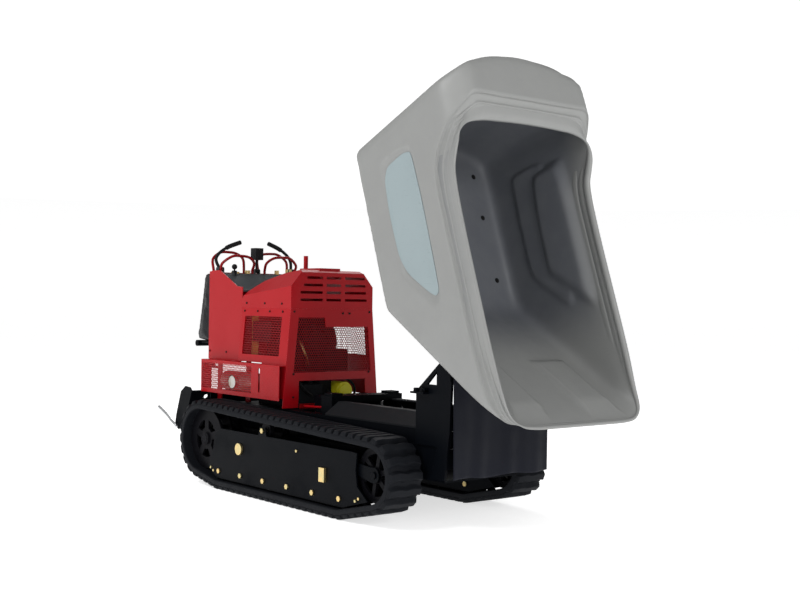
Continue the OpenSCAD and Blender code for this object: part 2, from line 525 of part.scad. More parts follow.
module cover_screws() color([0.15, 0.15, 0.16]) place() {
  for (y = [-222, 222]) for (z = [852, 560, 452]) rod_x(y, z, screw_r, front_x, front_x + 3, 24);
  for (y = [60, 100]) rod_x(y, 845, screw_r, front_x, front_x + 3, 24);
  both() for (x = [-1014, -853, -707]) rod_y(x, seam_z + 22, screw_r, half_w, half_w + 3, 24);
  both() for (x = [-1028, -911, -806, -695]) rod_y(x, seam_z - 16, screw_r, lean(seam_z - 16 - screw_r), lean(seam_z - 16) + 3, 24);
  both() for (x = [-1360, -1200, -1075]) rod_y(x, 640, screw_r, half_w, half_w + 3, 24);
}
lever_x = -1312;
lever_y = 217;
lever_z = 1058;
lever_r = 8;
lever_pin = 5;
module traction_lever(side) color([0.05, 0.05, 0.06]) place() mirror([0, side > 0 ? 0 : 1, 0]) {
  rod_y(lever_x, lever_z, 12, lever_y - 12, lever_y + 12, 32);
  rod_y(lever_x, lever_z, lever_pin, lever_y - 17, lever_y + 17, 32);
  bent_bar([[lever_x, lever_y, lever_z - 2], [lever_x - 20, 230, lever_z + 44], [lever_x - 24, 216, lever_z + 76],
    [lever_x - 24, 178, lever_z + 106], [lever_x - 22, 130, lever_z + 128], [lever_x - 20, 84, lever_z + 144]], lever_r, [1, 0, 0]);
}
dump_x = -1310;
dump_z = 1054;
module dump_lever() color([0.06, 0.06, 0.07]) place() {
  rod_y(dump_x, dump_z, 11, -12, 12, 32);
  rod_y(dump_x, dump_z, lever_pin, -17, 17, 32);
  translate([dump_x, 0, dump_z]) cylinder(r = 6, h = 64, $fn = 24);
  block(dump_x - 26, dump_x + 24, -20, 26, dump_z + 58, dump_z + 120);
}
throttle_x = -1250;
throttle_y = -170;
throttle_z = 1044;
module throttle_lever() color([0.06, 0.06, 0.07]) place() {
  rod_y(throttle_x, throttle_z, 8, throttle_y - 6, throttle_y + 6, 32);
  rod_y(throttle_x, throttle_z, 3, throttle_y - 11, throttle_y + 11, 32);
  translate([throttle_x, throttle_y, throttle_z]) cylinder(r = 4, h = 20, $fn = 24);
  translate([throttle_x, throttle_y, throttle_z + 27]) sphere(r = 14, $fn = 32);
}

// ======================= platform =======================
fold = 22;                                // lean of the folded platform
hinge_pin_r = 8;
module folded() translate([hinge_x, 0, hinge_z]) rotate([0, fold, 0]) children();
module platform() color([0.07, 0.07, 0.08]) place() folded() {
  half = platform_w / 2;
  difference() {
    block(20, 26, -half, half, 45, platform_l - 60);
    for (y = [-260 : 65 : 260]) for (z = [75, 120, 165]) rod_x(y, z, 12, 19, 27, 24);
  }
  both() prism_y(half - 6, half) polygon([[-70, 20], [-74, platform_l - 110], [-44, platform_l - 66], [0, platform_l - 52],
    [26, platform_l - 60], [26, -10], [-20, -40], [-60, -34]]);
  for (y = [-145, 145]) {
    rod_y(0, 0, 18, y - 19, y + 19, 48);
    block(0, 26, y - 19, y + 19, -17, 60);
  }
  rod_y(0, 0, hinge_pin_r, -180, 180, 48);
}
bar_r = 8;
module platform_bar() color([0.78, 0.79, 0.80]) place() both() {
  y = platform_w / 2 + bar_r + 1;
  bent_bar([[hinge_x - 36, y, hinge_z - 12], [hinge_x - 84, y, hinge_z + 8], [hinge_x - 140, y, hinge_z + 38], [x_rear + 3, y, hinge_z + 72]],
    bar_r, [0, 1, 0]);
  rod_y(hinge_x - 40, hinge_z - 10, 9, platform_w / 2, y + 7, 32);
}

// ======================= lift cylinder =======================
eye_r = 12;
lift_y = 95;                              // the cylinder stands beside the middle of the chassis
anchor_x = pivot_x - 588;
anchor_z = 250;
// where the rod meets the tub cradle, with the tub tipped and lowered
arm = [-213, -202];
function spin(v, a) = [v[0] * cos(a) + v[1] * sin(a), -v[0] * sin(a) + v[1] * cos(a)];
lift_up = [pivot_x, pivot_z] + spin(arm, tilt);
lift_len = norm(lift_up - [anchor_x, anchor_z]);
lift_low = norm([pivot_x, pivot_z] + arm - [anchor_x, anchor_z]);
lift_a = angle_of(lift_up - [anchor_x, anchor_z]);
barrel_len = lift_low - 90;
module along_lift() translate([anchor_x, lift_y, anchor_z]) rotate([0, 90 - lift_a, 0]) children();
rod_r = 15;
module lift_barrel() color([0.10, 0.10, 0.11]) place() {
  along_lift() {
    difference() {
      translate([0, 0, 34]) cylinder(r = 32, h = barrel_len - 34, $fn = 64);
      translate([0, 0, 39]) cylinder(r = rod_r + run_fit, h = barrel_len, $fn = 64);
    }
    translate([0, 0, 10]) cylinder(r = 13, h = 26, $fn = 48);
  }
  rod_y(anchor_x, anchor_z, 24, lift_y - 15, lift_y + 15);
  rod_y(anchor_x, anchor_z, eye_r, lift_y - 34, lift_y + 34);
}
module lift_rod() color([0.75, 0.76, 0.78]) place() {
  along_lift() translate([0, 0, lift_len - lift_low + 40]) cylinder(r = rod_r, h = lift_low - 60, $fn = 64);
  rod_y(lift_up[0], lift_up[1], 22, lift_y - 14, lift_y + 14);
  rod_y(lift_up[0], lift_up[1], eye_r, lift_y - 18, lift_y + 18);
}

// ======================= apron =======================
module apron() color([0.11, 0.11, 0.15]) place()
  prism_y(-rail_y - 20, rail_y + 20) polygon([[post_x + 88 + clear, 632], [post_x + 94, 632], [post_x + 112, 214], [post_x + 106, 214]]);

// ======================= tub =======================
// the tub's own frame: +X along its floor to the chute, +Z square to the floor, origin at the pivot
floor_h = rim_h - tub_depth;
tub_low = pivot_z + floor_h;              // underside of the lowered tub
knee_a = -278;
chute = atan2(rim_h - 24 - floor_h, lip_reach - knee_a);
deck_h = rim_h + 140;
mouth_rear = -918;
half_rim = tub_w / 2;
half_floor = half_rim - 20;
half_lip = half_rim - 82;
flange_w = 20;
module tipped() translate([pivot_x, 0, pivot_z]) rotate([0, tilt, 0]) children();
module ball(a, y, h, r) for (s = [-1, 1]) translate([a, s * y, h]) sphere(r = r, $fn = 24);
corner = 45;
lip_r = 22;
lip_h = rim_h - 24;                       // underside of the chute at its lip
knee_c = [knee_a - corner * tan(chute / 2), floor_h + corner];
lip_back = lip_r * (1 - sin(chute)) / cos(chute);
lip_c = [lip_reach - lip_r, lip_h + lip_r * cos(chute) - lip_back * sin(chute)];
// hull of rounded corners round tub and rear deck; t shrinks it evenly to give the inside
module tub_hull(t) hull() {
  ball(-tub_rear + corner + 4, half_floor - corner, floor_h + corner, corner - t);
  ball(knee_c[0], half_floor - corner, knee_c[1], corner - t);
  ball(lip_reach - 150, half_rim - corner, rim_h + 10, corner - t);
  ball(lip_c[0], half_lip - lip_r - 20, lip_c[1], lip_r - t);
  ball(lip_c[0], half_lip - lip_r - 20, rim_h + 10, lip_r - t);
  ball(lip_reach - 60, half_lip + 16, rim_h + 10, lip_r - t);
  ball(-tub_rear - 8, 150, floor_h + corner + 30, corner - t);
  ball(-tub_rear - 58, 90, deck_h - corner, corner - t);
  ball(-tub_rear + 6, half_rim - 120, deck_h - corner, corner - t);
  ball(-tub_rear + 40, half_rim - corner, rim_h + 20, corner - t);
  ball(mouth_rear - 30, half_rim - 120, deck_h - corner - 10, corner - t);
  ball(mouth_rear + 20, half_rim - corner, rim_h + 10, corner - t);
}
// side view of what is kept: up to the rim, then the sweep up to the edge of the deck
module tub_side() prism_y(-600, 600) polygon([[-tub_rear - 200, floor_h - 100], [lip_reach + 100, floor_h - 100], [lip_reach + 100, rim_h],
  [mouth_rear + 140, rim_h], [mouth_rear + 90, rim_h + 12], [mouth_rear + 50, rim_h + 45], [mouth_rear + 20, rim_h + 82],
  [mouth_rear, deck_h + 60], [-tub_rear - 200, deck_h + 60]]);
// outline of the mouth, grown by w
module rim_plan(w) polygon([[mouth_rear + 140, -half_rim - w], [lip_reach - 150, -half_rim - w],
  [lip_reach - 60, -half_rim + 26 - w], [lip_reach - 18, -half_lip + 6 - w], [lip_reach - 8 + w / 3, -half_lip + 60],
  [lip_reach - 8 + w / 3, half_lip - 60], [lip_reach - 18, half_lip - 6 + w], [lip_reach - 60, half_rim - 26 + w],
  [lip_reach - 150, half_rim + w], [mouth_rear + 140, half_rim + w]]);
module tub() color([0.60, 0.60, 0.59]) place() tipped() {
  difference() {
    intersection() { tub_hull(0); tub_side(); }
    tub_hull(tub_wall);
  }
  // rolled rim flange down both sides and round the lip
  translate([0, 0, rim_h - flange_h]) linear_extrude(flange_h) difference() {
    rim_plan(flange_w);
    translate([-10, 0]) rim_plan(-tub_wall / 2);
  }
}
cradle_y = rail_y - 20;
// underside of the chute above a, with the cradle's clearance
function under_chute(a) = floor_h + (a - knee_a) * tan(chute) - 2;
module tub_cradle() color([0.08, 0.08, 0.09]) place() tipped() {
  for (s = [-1, 1]) prism_y(s > 0 ? cradle_y - 10 : -cradle_y, s > 0 ? cradle_y : -cradle_y + 10)
    union() {
      polygon([[-820, floor_h - clear], [knee_a, floor_h - clear - 2], [20, under_chute(20) - 2],
        [34, 30], [30, -10], [0, -34], [-60, -40], [knee_a, floor_h - 40], [-820, floor_h - 30]]);
      circle(r = 34, $fn = 64);
    }
  for (s = [-1, 1]) rod_y(0, 0, pivot_r, s > 0 ? cradle_y - 1 : -rail_y - upright_t - 10, s > 0 ? rail_y + upright_t + 10 : -cradle_y + 1, 64);
  for (a = [-780, -420]) block(a, a + 40, -cradle_y + 9, cradle_y - 9, floor_h - 24, floor_h - clear);
  // lugs either side of the lift cylinder's eye, and the bar that carries them
  translate([0, lift_y, 0]) for (s = [-1, 1]) prism_y(s > 0 ? 20 : -30, s > 0 ? 30 : -20) polygon([[arm[0] - 40, arm[1] - 26], [arm[0] + 30, arm[1] - 26],
    [arm[0] + 30, under_chute(arm[0] + 30)], [knee_a + 2, under_chute(knee_a + 2)], [knee_a - 60, floor_h - clear], [knee_a - 60, floor_h - 24]]);
  block(knee_a - 60, knee_a - 30, -cradle_y + 9, cradle_y - 9, floor_h - 24, floor_h - clear);
}

chassis_frame();
front_upright();
tub_rest();
hydraulic_tank();
deck_guard();
track_frame(-1);  // track_frame_right
track_frame(1);  // track_frame_left
track(-1);  // track_right
track(1);  // track_left
roller_axles();
frame_plugs();
idler_forks();
drive_motors();
sprocket(-1);  // sprocket_right
sprocket(1);  // sprocket_left
idler(-1);  // idler_right
idler(1);  // idler_left
ground_roller(1, -1);  // roller_right_1
ground_roller(2, -1);  // roller_right_2
ground_roller(3, -1);  // roller_right_3
ground_roller(4, -1);  // roller_right_4
ground_roller(5, -1);  // roller_right_5
ground_roller(6, -1);  // roller_right_6
ground_roller(1, 1);  // roller_left_1
ground_roller(2, 1);  // roller_left_2
ground_roller(3, 1);  // roller_left_3
ground_roller(4, 1);  // roller_left_4
ground_roller(5, 1);  // roller_left_5
ground_roller(6, 1);  // roller_left_6
carrier(-1);  // carrier_right
carrier(1);  // carrier_left
engine_block();
engine_blower();
muffler();
hydraulic_pump();
hydraulic_filter();
battery();
front_bay();  // front_panel
side_panels();
cover_mesh();
hood();
rear_cowl();
muffler_guard();
control_panel();
guard_hoops();
console_fittings();
thigh_pad();
pad_bracket();
cover_screws();
traction_lever(-1);  // traction_lever_right
traction_lever(1);  // traction_lever_left
dump_lever();
throttle_lever();
platform();
platform_bar();
lift_barrel();
lift_rod();
apron();
tub_cradle();
tub();
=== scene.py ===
"""Looks of a tracked power wheelbarrow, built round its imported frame: tub, belts, soft parts, finishes and studio."""

import json
import math

import bmesh
import bpy
import numpy as np
from mathutils import Matrix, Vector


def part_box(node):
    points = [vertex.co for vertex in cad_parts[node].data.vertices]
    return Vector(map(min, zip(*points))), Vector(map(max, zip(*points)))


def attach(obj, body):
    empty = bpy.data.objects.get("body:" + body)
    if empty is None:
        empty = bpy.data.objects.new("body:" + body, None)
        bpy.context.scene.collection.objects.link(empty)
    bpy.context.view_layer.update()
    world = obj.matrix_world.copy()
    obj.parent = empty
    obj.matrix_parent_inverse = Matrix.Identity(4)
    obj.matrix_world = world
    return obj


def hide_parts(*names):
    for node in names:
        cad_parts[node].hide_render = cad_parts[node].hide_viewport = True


bl_info = {
    "name": "Power wheelbarrow",
    "version": (1, 0, 0),
    "blender": (4, 5, 0),
    "location": "View3D > Sidebar > Wheelbarrow",
    "description": "Builds the tub, rubber belts, cushion, apron and finishes of a tracked power wheelbarrow",
    "category": "Object",
}

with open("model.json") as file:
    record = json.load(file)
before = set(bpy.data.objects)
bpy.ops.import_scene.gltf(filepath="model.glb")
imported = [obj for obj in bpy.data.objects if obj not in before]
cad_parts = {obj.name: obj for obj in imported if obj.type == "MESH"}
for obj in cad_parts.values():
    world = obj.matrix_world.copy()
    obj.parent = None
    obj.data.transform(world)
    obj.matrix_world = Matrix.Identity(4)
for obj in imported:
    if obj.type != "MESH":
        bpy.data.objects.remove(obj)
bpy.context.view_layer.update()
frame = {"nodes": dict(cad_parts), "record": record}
NODES = frame["nodes"]
SIDES = ((-1, "right"), (1, "left"))

# The tub is drawn lying level and then tipped about its pivot: along runs to the chute, up is square to the floor.
PIVOT = np.array([0.84605, 0.0, 0.662])
TILT = math.radians(71)
ALONG = np.array([math.cos(TILT), 0.0, -math.sin(TILT)])
SQUARE = np.array([math.sin(TILT), 0.0, math.cos(TILT)])
# Belts, hoses, grips and camera are placed from the machine's own datum, which lies this far back in the frame.
DATUM = np.array([0.35805, 0.0, 0.0])


# ---------------------------------------------------------------- shader maths


class Value:
    """One number of a material that varies over its surface. Arithmetic on it adds Math nodes."""

    def __init__(self, finish, socket):
        self.finish, self.socket = finish, socket

    def _math(self, operation, *terms):
        return self.finish.add("ShaderNodeMath", {"operation": operation}, dict(enumerate(terms)))

    def __add__(self, other):
        return self._math("ADD", self, other)

    def __sub__(self, other):
        return self._math("SUBTRACT", self, other)

    def __rsub__(self, other):
        return self._math("SUBTRACT", other, self)

    def __mul__(self, other):
        return self._math("MULTIPLY", self, other)

    def __truediv__(self, other):
        return self._math("DIVIDE", self, other)

    def __lt__(self, other):
        return self._math("LESS_THAN", self, other)

    __radd__ = __add__
    __rmul__ = __mul__

    def least(self, other):
        return self._math("MINIMUM", self, other)

    def span(self, low, high):
        """0 below low, 1 above high, smooth between."""
        return self.finish.add("ShaderNodeMapRange", {"interpolation_type": "SMOOTHSTEP"},
                               {"Value": self, "From Min": low, "From Max": high})


class Finish:
    """A material in the making: its principled shader and the nodes that feed it."""

    def __init__(self, name, roughness=0.5, **constants):
        self.material = bpy.data.materials.new(name)
        self.material.use_nodes = True
        self.tree = self.material.node_tree
        self.shader = self.tree.nodes["Principled BSDF"]
        self.place = self.add("ShaderNodeTexCoord", output="Object")
        self.set(Roughness=roughness, **{k.replace("_", " "): v for k, v in constants.items()})

    def add(self, kind, settings=None, inputs=None, output=0):
        node = self.tree.nodes.new(kind)
        for key, value in (settings or {}).items():
            setattr(node, key, value)
        for key, value in (inputs or {}).items():
            self._feed(node.inputs[key], value)
        return Value(self, node.outputs[output])

    def _feed(self, socket, value):
        if isinstance(value, Value):
            self.tree.links.new(value.socket, socket)
        else:
            socket.default_value = value

    def set(self, **inputs):
        for key, value in inputs.items():
            self._feed(self.shader.inputs[key], value)

    def stretched(self, scale):
        """Object coordinates scaled by three factors, for brushed or streaked patterns."""
        return self.add("ShaderNodeMapping", {}, {"Vector": self.place, "Scale": scale})

    def noise(self, scale, detail=3.0, where=None):
        return self.add("ShaderNodeTexNoise", {}, {"Vector": where or self.place, "Scale": scale,
                                                   "Detail": detail, "Roughness": 0.55})

    def cells(self, scale, feature="F1"):
        return self.add("ShaderNodeTexVoronoi", {"feature": feature}, {"Vector": self.place, "Scale": scale})

    def blend(self, mask, first, second):
        """The first colour where mask is 0, the second where it is 1."""
        mix = self.tree.nodes.new("ShaderNodeMix")
        mix.data_type = "RGBA"
        for key, value in ((0, mask), (6, first), (7, second)):
            if not isinstance(value, Value) and key:
                value = (*value, 1.0)
            self._feed(mix.inputs[key], value)
        return Value(self, mix.outputs[2])

    def axis(self, name):
        return self.add("ShaderNodeSeparateXYZ", {}, {0: self.place}, output=name)

    def relief(self, height, depth, strength=1.0, edge=0.0):
        """Bumps the surface by height times depth in metres; edge is the radius that softens sheet edges."""
        inputs = {"Height": height, "Distance": depth, "Strength": strength}
        if edge:
            inputs["Normal"] = self.add("ShaderNodeBevel", {"samples": 3}, {"Radius": edge})
        self.set(Normal=self.add("ShaderNodeBump", {}, inputs))

    def done(self, colour):
        self.set(**{"Base Color": colour})
        return self.material


def shade(colour, factor):
    return tuple(c * factor for c in colour)


def glossy_paint(name, colour, peel=0.00006, roughness=0.3, coat=0.06):
    """Powder coat: faint orange peel, slightly uneven colour, dust haze and fine rub marks."""
    f = Finish(name, Coat_Roughness=0.1, Coat_Weight=coat, Specular_IOR_Level=0.14)
    haze = f.noise(5.0, 5.0).span(0.42, 0.75)
    rub = f.noise(38.0, 6.0, f.stretched((1.0, 1.0, 5.0))).span(0.60, 0.72)
    f.set(Roughness=roughness + haze * 0.12 + rub * 0.14)
    f.relief(f.noise(420.0, 2.0) + rub * 0.15, peel, edge=0.0016)
    worn = f.blend(rub * 0.35, colour, shade(colour, 0.72))
    return f.done(f.blend(haze * 0.3, worn, tuple(c * 0.85 + 0.001 for c in colour)))


def satin_black(name, colour, grain=260.0, depth=0.00016, roughness=0.42, dust=0.3):
    """Dark paint or casting: fine grain, grey dust gathered in patches and a few scuffs."""
    f = Finish(name, Specular_IOR_Level=0.04)
    patches = f.noise(7.0, 6.0).span(0.45, 0.8)
    scuff = f.noise(60.0, 4.0, f.stretched((1.0, 1.0, 6.0))).span(0.63, 0.74)
    f.set(Roughness=roughness + patches * 0.2 - scuff * 0.1)
    f.relief(f.noise(grain, 3.0) * 0.8 + f.cells(grain * 0.6) * 0.4, depth, edge=0.0015)
    dusty = f.blend(patches * dust, colour, tuple(c * 1.2 + 0.003 for c in colour))
    return f.done(f.blend(scuff * 0.35, dusty, tuple(c * 1.6 + 0.005 for c in colour)))


def metal(name, colour, tint, roughness=0.3, brush=(1.0, 1.0, 14.0), depth=0.00005):
    """Bare or plated metal: brushed streaks and patches of a second tint."""
    f = Finish(name, Metallic=1.0)
    streak = f.noise(180.0, 3.0, f.stretched(brush))
    patch = f.noise(26.0, 5.0).span(0.38, 0.66)
    f.set(Roughness=roughness + streak * 0.14 + patch * 0.1)
    f.relief(streak, depth, edge=0.0008)
    return f.done(f.blend(patch * 0.7, colour, tint))


def rubber(name, colour, grain=300.0, depth=0.0003, dust=0.35, roughness=0.62):
    """Moulded rubber: pebbled skin with pale dust in soft patches."""
    f = Finish(name, Specular_IOR_Level=0.12)
    pebble = f.cells(grain)
    bloom = f.noise(11.0, 6.0).span(0.4, 0.78)
    f.set(Roughness=roughness + bloom * 0.16)
    f.relief(pebble + f.noise(grain * 0.3, 4.0) * 0.7, depth)
    return f.done(f.blend(bloom * dust, colour, tuple(c * 1.1 + 0.005 for c in colour)))


def moulded_tub(name, colour, inside):
    """Rotomoulded polyethylene: soft mottling, pebble skin, scuffs, and painted shade that darkens the inside of the
    tub.
    """
    f = Finish(name, IOR=1.48)
    mottle = f.noise(9.0, 5.0).span(0.3, 0.7)
    scuff = f.noise(46.0, 7.0, f.stretched((1.0, 3.0, 1.0))).span(0.60, 0.75)
    # Painted shade: the attribute that make_tub sets darkens the inside of the tub towards the inside colour, most on
    # its floor.
    painted_shade = f.add("ShaderNodeAttribute", {"attribute_name": "painted_shade"}, output="Fac")
    f.set(Roughness=0.40 + mottle * 0.10 + scuff * 0.12)
    f.relief(f.noise(520.0, 2.0) * 0.6 + f.noise(70.0, 3.0), 0.00028)
    skin = f.blend(mottle * 0.35, colour, shade(colour, 0.90))
    marked = f.blend(scuff * 0.22, skin, tuple(min(1.0, c * 1.12) for c in colour))
    return f.done(f.blend(painted_shade * (0.90 + mottle * 0.10), marked, inside))


def pierced_sheet(name, colour, pitch, hole, window=None):
    """Painted steel grille: rows of round holes staggered by half a pitch, cut by Alpha.
    window is (x from, x to, z from, z to) where only part of a plate is pierced."""
    f = Finish(name, 0.34, Coat_Weight=0.06, Specular_IOR_Level=0.14)
    across, up = (f.axis("X") + f.axis("Y") + 7.0) / pitch, (f.axis("Z") + 7.0) / (pitch * math.sqrt(3))

    def off_centre(shift):
        u = f.add("ShaderNodeMath", {"operation": "FRACT"}, {0: across + shift}) - 0.5
        v = (f.add("ShaderNodeMath", {"operation": "FRACT"}, {0: up + shift}) - 0.5) * math.sqrt(3)
        return u * u + v * v

    spot = off_centre(0.0).least(off_centre(0.5))
    radius = hole / pitch / 2
    holes = spot < radius * radius
    if window:
        x, z = f.axis("X"), f.axis("Z")
        inside = (x - window[0]).least(window[1] - x).least(z - window[2]).least(window[3] - z)
        holes = holes * (1.0 - (inside < 0.0))
    f.set(Alpha=1.0 - holes)
    f.relief(spot.span(radius * radius, radius * radius * 1.5), 0.0004)
    haze = f.noise(12.0, 4.0).span(0.4, 0.75)
    return f.done(f.blend(haze * 0.3, colour, shade(colour, 0.7)))


def vinyl(name, colour):
    """Cushion vinyl: leather-like creases and grain with a soft sheen."""
    f = Finish(name, Coat_Weight=0.06, Coat_Roughness=0.35, Specular_IOR_Level=0.3)
    crease = f.cells(190.0, "DISTANCE_TO_EDGE").span(0.0, 0.09)
    worn = f.noise(13.0, 5.0).span(0.42, 0.72)
    f.set(Roughness=0.40 + worn * 0.16)
    f.relief(crease + f.noise(30.0, 4.0) * 0.8, 0.00035)
    return f.done(f.blend(worn * 0.5, colour, tuple(c * 1.4 + 0.003 for c in colour)))


# ---------------------------------------------------------------- meshes from arrays


def new_object(name, points, faces, finish, smooth=True):
    """Puts whole arrays into the mesh of a new object, which stays at the origin."""
    mesh = bpy.data.meshes.new(name)
    mesh.from_pydata(points.reshape(-1, 3).tolist(), [], faces)
    mesh.polygons.foreach_set("use_smooth", [smooth] * len(mesh.polygons))
    mesh.materials.append(finish)
    piece = bpy.data.objects.new(name, mesh)
    bpy.context.scene.collection.objects.link(piece)
    return piece


def seat(piece, body, slot, *nodes):
    """Makes a piece ride on a body of the frame and hides the frame's nodes that it stands for; its slot is not used.
    """
    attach(piece, body)
    if nodes:
        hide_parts(*nodes)
    return piece


def grid_faces(rows, columns, closed_rows=False, closed_columns=False):
    """Quads of a grid of rows by columns points; either way may join its end to its start."""
    i = np.arange(rows if closed_rows else rows - 1)[:, None]
    j = np.arange(columns if closed_columns else columns - 1)[None, :]
    a, b = (i * columns + j), (i * columns + (j + 1) % columns)
    c, d = ((i + 1) % rows) * columns + (j + 1) % columns, ((i + 1) % rows) * columns + j
    return np.stack([a, b, c, d], -1).reshape(-1, 4)


def fan(first, count, tip, turned=False):
    """Triangles from a closed ring of count points, numbered from first, to the point numbered tip."""
    ring = first + np.arange(count)
    ahead = np.roll(ring, -1)
    return np.stack([*((ahead, ring) if turned else (ring, ahead)), np.full(count, tip)], -1)


def outwards(piece, edge=None):
    """Merges the seam's doubles, turns every face outwards and marks edges above the angle sharp."""
    sheet = bmesh.new()
    sheet.from_mesh(piece.data)
    bmesh.ops.remove_doubles(sheet, verts=sheet.verts, dist=1e-5)
    bmesh.ops.recalc_face_normals(sheet, faces=sheet.faces)
    sheet.to_mesh(piece.data)
    sheet.free()
    if edge:
        piece.data.set_sharp_from_angle(angle=math.radians(edge))
    return piece


def smoothstep(t):
    """0 below 0, 1 above 1, and 3 t squared less 2 t cubed between."""
    t = np.clip(t, 0, 1)
    return t * t * (3 - 2 * t)


def through(stations, count):
    """A smooth curve through stations: a Catmull-Rom spline at count even steps of its parameter."""
    p = np.asarray(stations, float)
    p = np.vstack([2 * p[0] - p[1], p, 2 * p[-1] - p[-2]])
    t = np.linspace(0, len(p) - 3, count)
    i = np.minimum(t.astype(int), len(p) - 4)
    f = (t - i)[:, None]
    a, b, c, d = p[i], p[i + 1], p[i + 2], p[i + 3]
    return b + 0.5 * f * (c - a + f * (2 * a - 5 * b + 4 * c - d + f * (3 * (b - c) + d - a)))


def loft(ring, path, side):
    """A tube: a ring of (across, up) points carried along a path, square to it, with fans closing both ends."""
    step = np.gradient(path, axis=0)
    step /= np.linalg.norm(step, axis=1, keepdims=True)
    across = np.cross(np.broadcast_to(side, step.shape), step)
    across /= np.linalg.norm(across, axis=1, keepdims=True)
    up = np.cross(step, across)
    points = path[:, None] + ring[None, :, :1] * across[:, None] + ring[None, :, 1:] * up[:, None]
    rows, columns = points.shape[:2]
    total = rows * columns
    ends = np.vstack([fan(0, columns, total), fan(total - columns, columns, total + 1, turned=True)])
    every = np.vstack([points.reshape(-1, 3), path[:1], path[-1:]])
    return every, [*grid_faces(rows, columns, closed_columns=True).tolist(), *ends.tolist()]


def circle(radius):
    """Twelve points at even angles, each the radius from the middle."""
    a = np.arange(12) * 2 * math.pi / 12
    return radius * np.stack([np.cos(a), np.sin(a)], -1)


def tube(name, stations, radius, finish, body, slot, count=40):
    """A hose or rod: a circle lofted through its stations, with a side direction that the path never runs along."""
    path = through(stations, count)
    reach = np.ptp(path, axis=0)
    side = (0.0, 1.0, 0.02) if reach[1] < reach[0] + reach[2] else (1.0, 0.02, 0.1)
    piece = new_object(name, *loft(circle(radius), path, np.array(side)), finish)
    seat(outwards(piece), body, slot)


# ---------------------------------------------------------------- the tub


HEART = np.array([-0.45, 0.0, 0.10])
DOWN = np.array([0.0, 0.0, -1.0])
# Powers of the norm outside and inside the tub: the higher, the tighter its rounded edges.
EDGE, INNER_EDGE = 46, 17
REAR_BOW, REAR_LEAN, REAR_PLACE = 0.62, 0.0903, 1.0722
KNEE, LIP = np.array([-0.278, 0.0, -0.175]), np.array([0.352, 0.0, 0.356])
FLOOR_TO_LIP = (LIP - KNEE) / np.linalg.norm(LIP - KNEE)
CHUTE_NORMAL = np.array([FLOOR_TO_LIP[2], 0.0, -FLOOR_TO_LIP[0]])
# Flat walls as an outward normal and a point on the wall: floor, chute, lip and deck,
# then on each side the side wall, two lip corners and the deck's chamfer.
WALLS = [(DOWN, KNEE), (CHUTE_NORMAL, LIP), ((1, 0, 0), (0.380, 0.0, 0.356)), ((0, 0, 1), (-1.0, 0.0, 0.520))]
for _side, _ in SIDES:
    WALLS += [((0, _side, -0.036), (0.0, _side * 0.392, 0.380)),
              ((0.028, _side * 0.09, 0), (0.212, _side * 0.396, 0.3)),
              ((0.05, _side * 0.046, 0), (0.310, _side * 0.380, 0.3)),
              ((0, _side * 0.832, 0.555), (-1.0, _side * 0.322, 0.523))]
# Inner edge of the mouth, and the outer edge of the band round it, from the lip's middle to the rear's middle.
MOUTH = [(.358, 0, .373), (.358, .13, .373), (.356, .25, .373), (.342, .318, .372), (.295, .364, .371),
         (.19, .376, .368), (.05, .384, .369), (-.15, .385, .370), (-.35, .385, .371), (-.50, .385, .374),
         (-.60, .385, .380), (-.66, .385, .390), (-.705, .386, .412), (-.750, .382, .436), (-.790, .366, .450),
         (-.820, .325, .459), (-.832, .25, .463), (-.835, .17, .466), (-.838, .08, .467), (-.839, 0, .467)]
BAND = [(.376, 0, .346), (.376, .13, .346), (.374, .26, .346), (.358, .335, .342), (.308, .384, .325),
        (.20, .394, .298), (.05, .398, .287), (-.15, .398, .284), (-.35, .398, .283), (-.50, .398, .283),
        (-.62, .398, .285), (-.70, .398, .298), (-.755, .397, .325), (-.80, .396, .368), (-.838, .392, .415),
        (-.866, .372, .455), (-.885, .315, .488), (-.897, .22, .502), (-.903, .10, .508), (-.905, 0, .509)]
# Section of the band from its outer edge (0) to the mouth (1), and how far it stands out in metres.
BEADS = np.array([(0, 0), (.01, .006), (.04, .0105), (.09, .012), (.26, .012), (.31, .0105), (.335, .006),
                  (.38, .006), (.405, .0105), (.45, .012), (.54, .012), (.585, .0105), (.61, .007), (.65, .007),
                  (.68, .012), (.73, .017), (.82, .0195), (.90, .0185), (.96, .014), (1.0, .006)])
# Outlines as (along, up) of the panel embossed in each side, and of the deeper one that stands in on the inside.
PANEL = [(-.640, -.046), (-.384, -.042), (-.192, .135), (-.216, .179), (-.607, .194), (-.851, .184),
         (-.871, .120), (-.860, -.031)]
INSET = [(-.713, .055), (-.352, .045), (-.140, .270), (-.175, .296), (-.776, .299), (-.838, .285), (-.835, .085)]
EMBOSSED = (PANEL, 0.011, 0.022)
INSET_SLOPE = 0.055
SIDES_FROM = 0.28  # what lies further out than this belongs to a side wall
DECAL_LIFT = 0.0022
# The painted shade inside the tub begins below the mouth over this many rows, and behind the chute from a place along
# it, over a run.
INSIDE_SHADE_ROWS, INSIDE_SHADE_FROM, INSIDE_SHADE_RUN = 14.0, 0.03, 0.30
# The two pads on the chute: from and to along it, from and to off its middle, and the width of their slopes.
PAD_ALONG, PAD_ACROSS, PAD_SLOPE = (0.020, 0.292), (0.100, 0.285), 0.016
BOLTS_ALONG, BOLTS_ACROSS = (-0.915, -0.715, -0.42), 0.285


def polygon_depth(along, up, corners, round_by=0.012):
    """How far a point is inside a convex outline: the soft least of its distances to the outline's edges."""
    p = np.asarray(corners, float)
    step = np.roll(p, -1, axis=0) - p
    step /= np.linalg.norm(step, axis=1, keepdims=True)
    away = (along[..., None] - p[:, 0]) * -step[:, 1] + (up[..., None] - p[:, 1]) * step[:, 0]
    return -round_by * np.log(np.exp(np.clip(-away / round_by, -60, 60)).sum(-1))


